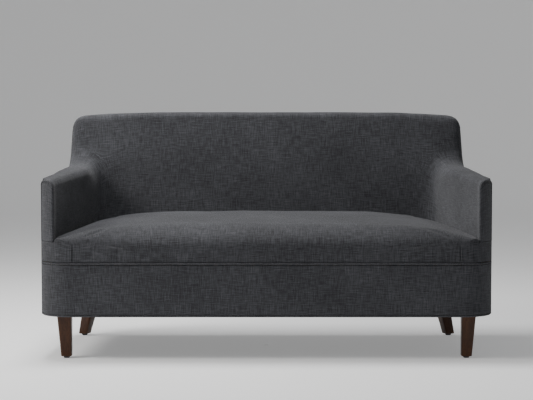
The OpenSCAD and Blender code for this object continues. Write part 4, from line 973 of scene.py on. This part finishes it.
# ---- materials
class Graph:
    """A material's node tree, with short calls for the nodes used here."""

    def __init__(self, name):
        self.material = bpy.data.materials.new(name)
        self.material.use_nodes = True
        self.tree = self.material.node_tree
        self.shader = self.tree.nodes["Principled BSDF"]

    def add(self, kind, out=0, **settings):
        """A new node's output. i0 is its first socket, names in small letters are its settings."""
        node = self.tree.nodes.new("ShaderNode" + kind)
        for key, value in settings.items():
            if key[0] == "i" and key[1:].isdigit():
                self.link(value, node.inputs[int(key[1:])])
            elif key.islower():
                setattr(node, key, value)
            else:
                self.link(value, node.inputs[key])
        return node.outputs[out]

    def link(self, value, target):
        if isinstance(value, bpy.types.NodeSocket):
            self.tree.links.new(value, target)
        else:
            target.default_value = (*value, 1) if target.type == "RGBA" else value

    def cloth_uv(self):
        return self.add("UVMap", uv_map=UV_NAME)

    def solid(self):
        """The object's own coordinates."""
        return self.add("TexCoord", out=3)

    def math(self, operation, a, b=0.0, c=0.0):
        return self.add("Math", operation=operation, i0=a, i1=b, i2=c)

    def times(self, a, b):
        return self.math("MULTIPLY", a, b)

    def plus(self, a, b):
        return self.math("ADD", a, b)

    def line(self, value, slope, start):
        return self.math("MULTIPLY_ADD", value, slope, start)

    def both(self, a, share, b):
        """a by its share and b by the rest."""
        return self.plus(self.times(a, share), self.times(b, 1 - share))

    def stretch(self, vector, sizes):
        """Coordinates divided by sizes in metres: one for all axes, or one for each."""
        sizes = (*sizes, 1)[:3] if isinstance(sizes, tuple) else (sizes,) * 3
        return self.add("Mapping", Vector=vector, Scale=tuple(1 / s for s in sizes))

    def noise(self, vector, sizes, detail=2.0, rough=0.5):
        return self.add("TexNoise", Vector=self.stretch(vector, sizes), Scale=1.0, Detail=detail,
                        Roughness=rough)

    def ramp(self, value, *stops):
        out = self.add("ValToRGB", i0=value)
        elements = out.node.color_ramp.elements
        while len(elements) < len(stops):
            elements.new(0.5)
        for element, (at, colour) in zip(elements, stops):
            element.position, element.color = at, (*colour, 1)
        return out

    def fade(self, value, low, high, start=0.0):
        """Grey from start at low to white at high."""
        return self.ramp(value, (low, (start,) * 3), (high, (1, 1, 1)))

    def mix(self, factor, a, b, blend="MIX"):
        return self.add("Mix", out=2, data_type="RGBA", blend_type=blend, i0=factor, i6=a, i7=b)

    def pick(self, factor, a, b):
        """A number from a to b."""
        return self.add("Mix", data_type="FLOAT", i0=factor, i2=a, i3=b)

    def bump(self, height, strength, distance):
        return self.add("Bump", Height=height, Strength=strength, Distance=distance)

    def set(self, **sockets):
        for key, value in sockets.items():
            self.link(value, self.shader.inputs[key.replace("_", " ")])
        return self.material


def scaled(colour, by):
    return tuple(min(1, c * by) for c in colour)


SLUB, BROAD = (0.0021, 0.05), (0.0034, 0.034)  # width and length of slubs and of thread groups


def woven(name, dark, light, pitch=0.0018, bias=0.0, depth=0.0004):
    """A plain weave from the UVs, with slubs, thread-to-thread tone, painted shade between the
    threads and a soft sheen.
    """
    g = Graph(name)
    uv = g.add("Mapping", Vector=g.cloth_uv(), Rotation=(0, 0, bias))
    wobble = g.noise(uv, 0.03)
    u, v = g.add("SeparateXYZ", i0=uv).node.outputs[:2]
    u, v = g.line(wobble, 0.0012, u), g.line(wobble, -0.0012, v)
    a, b = (g.math("SINE", g.times(c, math.pi / pitch)) for c in (u, v))
    over = g.add("Clamp", Value=g.line(g.times(a, b), 1.6, 0.5))
    height = g.pick(over, g.math("ABSOLUTE", b), g.math("ABSOLUTE", a))
    threads = g.pick(over, *(g.noise(uv, size, 3.0, 0.6) for size in (SLUB[::-1], SLUB)))
    broad = g.plus(g.noise(uv, BROAD), g.noise(uv, BROAD[::-1]))
    tone = g.both(threads, 0.6, g.times(broad, 0.5))
    patches = g.math("SUBTRACT", g.noise(uv, 0.25, 3.0), 0.5)
    tone = g.line(patches, 0.14, tone)
    middle = tuple(mix(d, l, 0.4) for d, l in zip(dark, light))
    colour = g.ramp(tone, (0.38, dark), (0.5, middle), (0.62, light))
    # painted shade: the colour darkens where the threads dip towards the gaps between them
    painted_gap_shade = g.line(height, 0.55, 0.5)
    colour = g.mix(1.0, colour, g.add("CombineXYZ", X=painted_gap_shade, Y=painted_gap_shade, Z=painted_gap_shade), "MULTIPLY")
    relief = g.plus(height, g.times(threads, 0.9))
    relief = g.line(g.noise(uv, 0.0006), 0.5, relief)
    return g.set(Base_Color=colour, Roughness=g.line(threads, 0.16, 0.82),
                 Normal=g.bump(relief, 0.75, depth), Sheen_Weight=0.1, Sheen_Roughness=0.5,
                 Specular_IOR_Level=0.25)


def grained(name, dark, mid, light, along=1, rough=0.42, coat=0.15, uv=True):
    """Wood whose grain runs along one axis, with pores, growth bands and worn, paler edges."""
    g = Graph(name)
    place = g.cloth_uv() if uv else g.solid()

    def fibres(across, length, *detail):
        return g.noise(place, tuple(length if i == along else across for i in range(3)), *detail)

    waves, pores = fibres(0.006, 0.11, 5.0, 0.6), fibres(0.0008, 0.012)
    tone = g.both(waves, 0.6, fibres(0.018, 0.35, 3.0))
    colour = g.ramp(tone, (0.36, dark), (0.5, mid), (0.66, light))
    colour = g.mix(0.55, colour, g.fade(pores, 0.36, 0.5, 0.35), "MULTIPLY")
    pointiness = g.add("NewGeometry", out=7)
    worn = g.times(g.fade(pointiness, 0.5, 0.62), 0.35)
    colour = g.mix(worn, colour, scaled(light, 1.5))
    relief = g.plus(waves, g.times(pores, 0.6))
    return g.set(Base_Color=colour, Roughness=g.line(g.noise(place, 0.03, 3.0), 0.2, rough - 0.1),
                 Normal=g.bump(relief, 0.35, 0.0004), Coat_Weight=coat, Coat_Roughness=0.3,
                 Specular_IOR_Level=0.25)


def metal(name, colour, rough):
    """Drawn or rolled steel with fine streaks and dull spots."""
    g = Graph(name)
    place = g.solid()
    drawn = g.noise(place, (0.001, 0.03, 0.001), 4.0)
    spots = g.noise(place, 0.012, 4.0)
    tone = g.mix(g.fade(spots, 0.4, 0.7), colour, scaled(colour, 0.6))
    return g.set(Base_Color=tone, Metallic=1.0, Roughness=g.line(drawn, 0.25, rough),
                 Normal=g.bump(drawn, 0.25, 0.0002))


def plastic(name, colour):
    """Moulded plastic with a fine grain and scuffs."""
    g = Graph(name)
    place = g.solid()
    scuffs = g.noise(place, (0.004, 0.02, 0.004), 4.0)
    tone = g.mix(g.fade(scuffs, 0.55, 0.8), colour, scaled(colour, 2.5))
    return g.set(Base_Color=tone, Roughness=g.line(scuffs, 0.3, 0.35),
                 Normal=g.bump(g.noise(place, 0.0012, 3.0), 0.3, 0.0002))


def nonwoven(name):
    """Spun black cloth, pressed in small dots."""
    g = Graph(name)
    uv = g.cloth_uv()
    fibres = g.noise(uv, (0.0008, 0.004), 4.0)
    cells = g.add("TexVoronoi", Vector=g.stretch(uv, 0.0022), Scale=1.0)
    tone = g.ramp(g.both(fibres, 0.7, cells), (0.3, (0.006, 0.006, 0.007)),
                  (0.7, (0.03, 0.03, 0.032)))
    return g.set(Base_Color=tone, Roughness=g.line(fibres, 0.2, 0.75), Sheen_Weight=0.15,
                 Normal=g.bump(g.plus(cells, fibres), 0.5, 0.0004))


def backdrop(name, colour, glow=0.27):
    """Pale paper, a little brighter to the eye and in reflections than its light makes it."""
    g = Graph(name)
    ray = g.add("LightPath").node.outputs
    seen = g.math("MAXIMUM", ray["Is Camera Ray"], ray["Is Glossy Ray"])
    seen = g.math("MAXIMUM", seen, ray["Is Transmission Ray"])
    shade = g.mix(g.noise(g.solid(), 0.5), colour, scaled(colour, 0.985))
    return g.set(Base_Color=shade, Roughness=0.9, Specular_IOR_Level=0.1,
                 Emission_Strength=g.times(seen, glow))


def dress(piece, slot, *nodes):
    """Hides the CAD nodes that a piece stands for, and returns the piece; slot is not used."""
    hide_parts(*nodes)
    return piece


def upholster():
    cloth = woven("charcoal_weave", (0.020, 0.020, 0.023), (0.122, 0.125, 0.138))
    # the piping is the cover's charcoal cloth; its colours are a little lighter than the cover's
    # as painted light, so that it looks lit
    piping = woven("charcoal_piping_painted_light", (0.026, 0.026, 0.029), (0.132, 0.135, 0.148), 0.0016,
                   math.radians(45), depth=0.0003)
    inside = dress(inside_upholstery(cloth), "cover", "inside_back_cover", "back_foam",
                   "inside_arm_cover_right", "inside_arm_cover_left",
                   "arm_foam_right", "arm_foam_left")
    seat = dress(seat_pad(cloth), "cover", "seat_cover", "seat_foam")
    band = dress(base_band(cloth), "cover", "base_band", "rail_padding")
    back = dress(outside_back(cloth), "cover", "outside_back")
    for side, mirror in (("right", False), ("left", True)):
        for make, name, node, flat, area in (
                (arm_front, "arm_front_cover_", "arm_front_", (0.10, 0.23), 0.021),
                (seat_ear, "seat_ear_cover_", "seat_ear_", (0.10, 0.09), 0.008),
                (outside_arm, "outside_arm_cover_", "outside_arm_", (0.76, 0.68), 0.37)):
            piece = dress(make(name + side, mirror, cloth), "cover", node + side)
        dress(arm_welt("arm_piping_" + side, mirror, piping), "welt", "arm_welt_" + side)
    dress(seat_welt(piping), "welt", "seat_welt")
    dress(base_welt(piping), "welt", "base_welt")


def underside():
    """The legs, the dust cloth, and the cloths over the springs."""
    top_front, top_rear, turn, splay = (715.0, 75.0), (674.0, 616.0), math.radians(25), 36.0
    rear_foot = (splay * (math.cos(turn) + math.sin(turn)),
                 splay * (math.cos(turn) - math.sin(turn)))
    walnut = grained("walnut_stain", (0.024, 0.008, 0.003), (0.060, 0.022, 0.008),
                     (0.105, 0.042, 0.016), coat=0.03)
    for side, sign in (("right", 1), ("left", -1)):
        for kind, foot, top, angle in (("front", (-6.5, 0), top_front, 0.0),
                                       ("rear", rear_foot, top_rear, turn)):
            piece = leg("%s_leg_turned_%s" % (kind, side), foot, top, angle, sign, walnut)
            dress(piece, "leg_wood", "%s_leg_%s" % (kind, side))
    under = dust_cover(nonwoven("black_nonwoven"), (top_front, top_rear))
    dress(under, "dust_cloth", "dust_cover")
    jute = woven("deck_weave", (0.20, 0.15, 0.09), (0.42, 0.34, 0.22), 0.0024, depth=0.0006)
    dress(deck_cloth(jute), "deck_cloth", "seat_deck_cloth")
    dress(burlap(jute), "deck_cloth", "back_burlap")


def finish_nodes():
    """The frame, springs and fixings keep their CAD meshes and get real finishes."""
    x_beech, y_beech, z_beech = (
        grained("beech_" + axis, (0.36, 0.23, 0.12), (0.50, 0.35, 0.20), (0.62, 0.46, 0.28),
                i, 0.62, 0.0, False) for i, axis in enumerate("xyz"))
    board = grained("hardboard", (0.10, 0.055, 0.025), (0.15, 0.085, 0.04), (0.20, 0.12, 0.06),
                    1, 0.5, 0.0, False)
    wire = metal("drawn_wire", (0.30, 0.30, 0.31), 0.35)
    zinc = metal("zinc_plate", (0.55, 0.55, 0.57), 0.32)
    glide = plastic("glide_plastic", (0.012, 0.012, 0.012))
    finishes = ((y_beech, "side_rail", "arm_top", "arm_tack", "seat_stretchers"),
                (z_beech, "arm_post", "back_post", "back_uprights", "corner_blocks"),
                (board, "arm_panel"), (wire, "seat_spring", "seat_tie", "back_spring"),
                (zinc, "leg_plates", "plate_screws", "leg_bolts"), (glide, "glides"))
    for name, obj in frame["nodes"].items():
        found = [finish for finish, *starts in finishes if name.startswith(tuple(starts))]
        for slot in obj.material_slots:
            slot.material = found[0] if found else x_beech


# ---- floor, light and camera
FLOOR_R, BEND_R, WALL_TOP = 8.0, 2.0, 4.5  # the sweep's flat floor, its bend and its height
WORLD_COLOUR, WORLD_LIGHT = (0.95, 0.97, 1.0, 1), 0.15
LIGHTS = (  # name, place, aim, size, watts, colour
    ("key", (-3.1, -1.3, 2.6), (0.1, 0.0, 0.45), (1.4, 1.2), 98, (1.0, 0.985, 0.96)),
    ("top", (-0.75, 0.35, 3.2), (-0.1, 0.1, 0.4), (1.3, 1.0), 96, (1, 1, 1)),
    ("fill", (0.9, -2.7, 3.0), (0, 0, 0.4), (2.0, 2.0), 4, (0.95, 0.97, 1.0)))


def studio():
    """A pale round floor whose far edge rises into a wall, two soft lights and a weak one."""
    profile = [(0.01, 0.0), (3.0, 0.0), (FLOOR_R, 0.0)]
    profile += [(FLOOR_R + BEND_R * math.sin(t), BEND_R * (1 - math.cos(t)))
                for t in np.linspace(0.1, QUARTER, 14)]
    profile += [(FLOOR_R + BEND_R, WALL_TOP)]
    around = np.linspace(0, 2 * math.pi, 96, endpoint=False)
    points = [(r * math.cos(a), r * math.sin(a), z - 0.0005) for r, z in profile for a in around]
    n = len(around)
    faces = [(i * n + j, i * n + (j + 1) % n, (i + 1) * n + (j + 1) % n, (i + 1) * n + j)
             for i in range(len(profile) - 1) for j in range(n)]
    me = bpy.data.meshes.new("studio_sweep")
    me.from_pydata(points, [], faces + [tuple(range(n))])
    add_mesh(me, backdrop("studio_paper", (0.86, 0.86, 0.86)))
    room_light = bpy.data.worlds.new("studio")
    room_light.use_nodes = True
    sockets = room_light.node_tree.nodes["Background"].inputs
    sockets[0].default_value, sockets[1].default_value = WORLD_COLOUR, WORLD_LIGHT
    bpy.context.scene.world = room_light
    for name, place, aim, size, power, colour in LIGHTS:
        data = bpy.data.lights.new(name, "AREA")
        data.shape, data.size, data.size_y = "RECTANGLE", *size
        data.energy, data.color = power, colour
        turn = (Vector(aim) - Vector(place)).to_track_quat("-Z", "Y").to_euler()
        add_object(name, data, place, turn)


CAMERA_Y, CAMERA_Z, CAMERA_TILT, LENS = -5564.0, 870.0, math.radians(3.148), 108.07


def camera():
    """The photograph's view, solved from its outline."""
    data = bpy.data.cameras.new("camera")
    data.lens, data.sensor_width = LENS, 36.0
    place = world([0, CAMERA_Y, CAMERA_Z])
    bpy.context.scene.camera = add_object("camera", data, place, (QUARTER - CAMERA_TILT, 0, 0))


upholster()
underside()
finish_nodes()
studio()
camera()
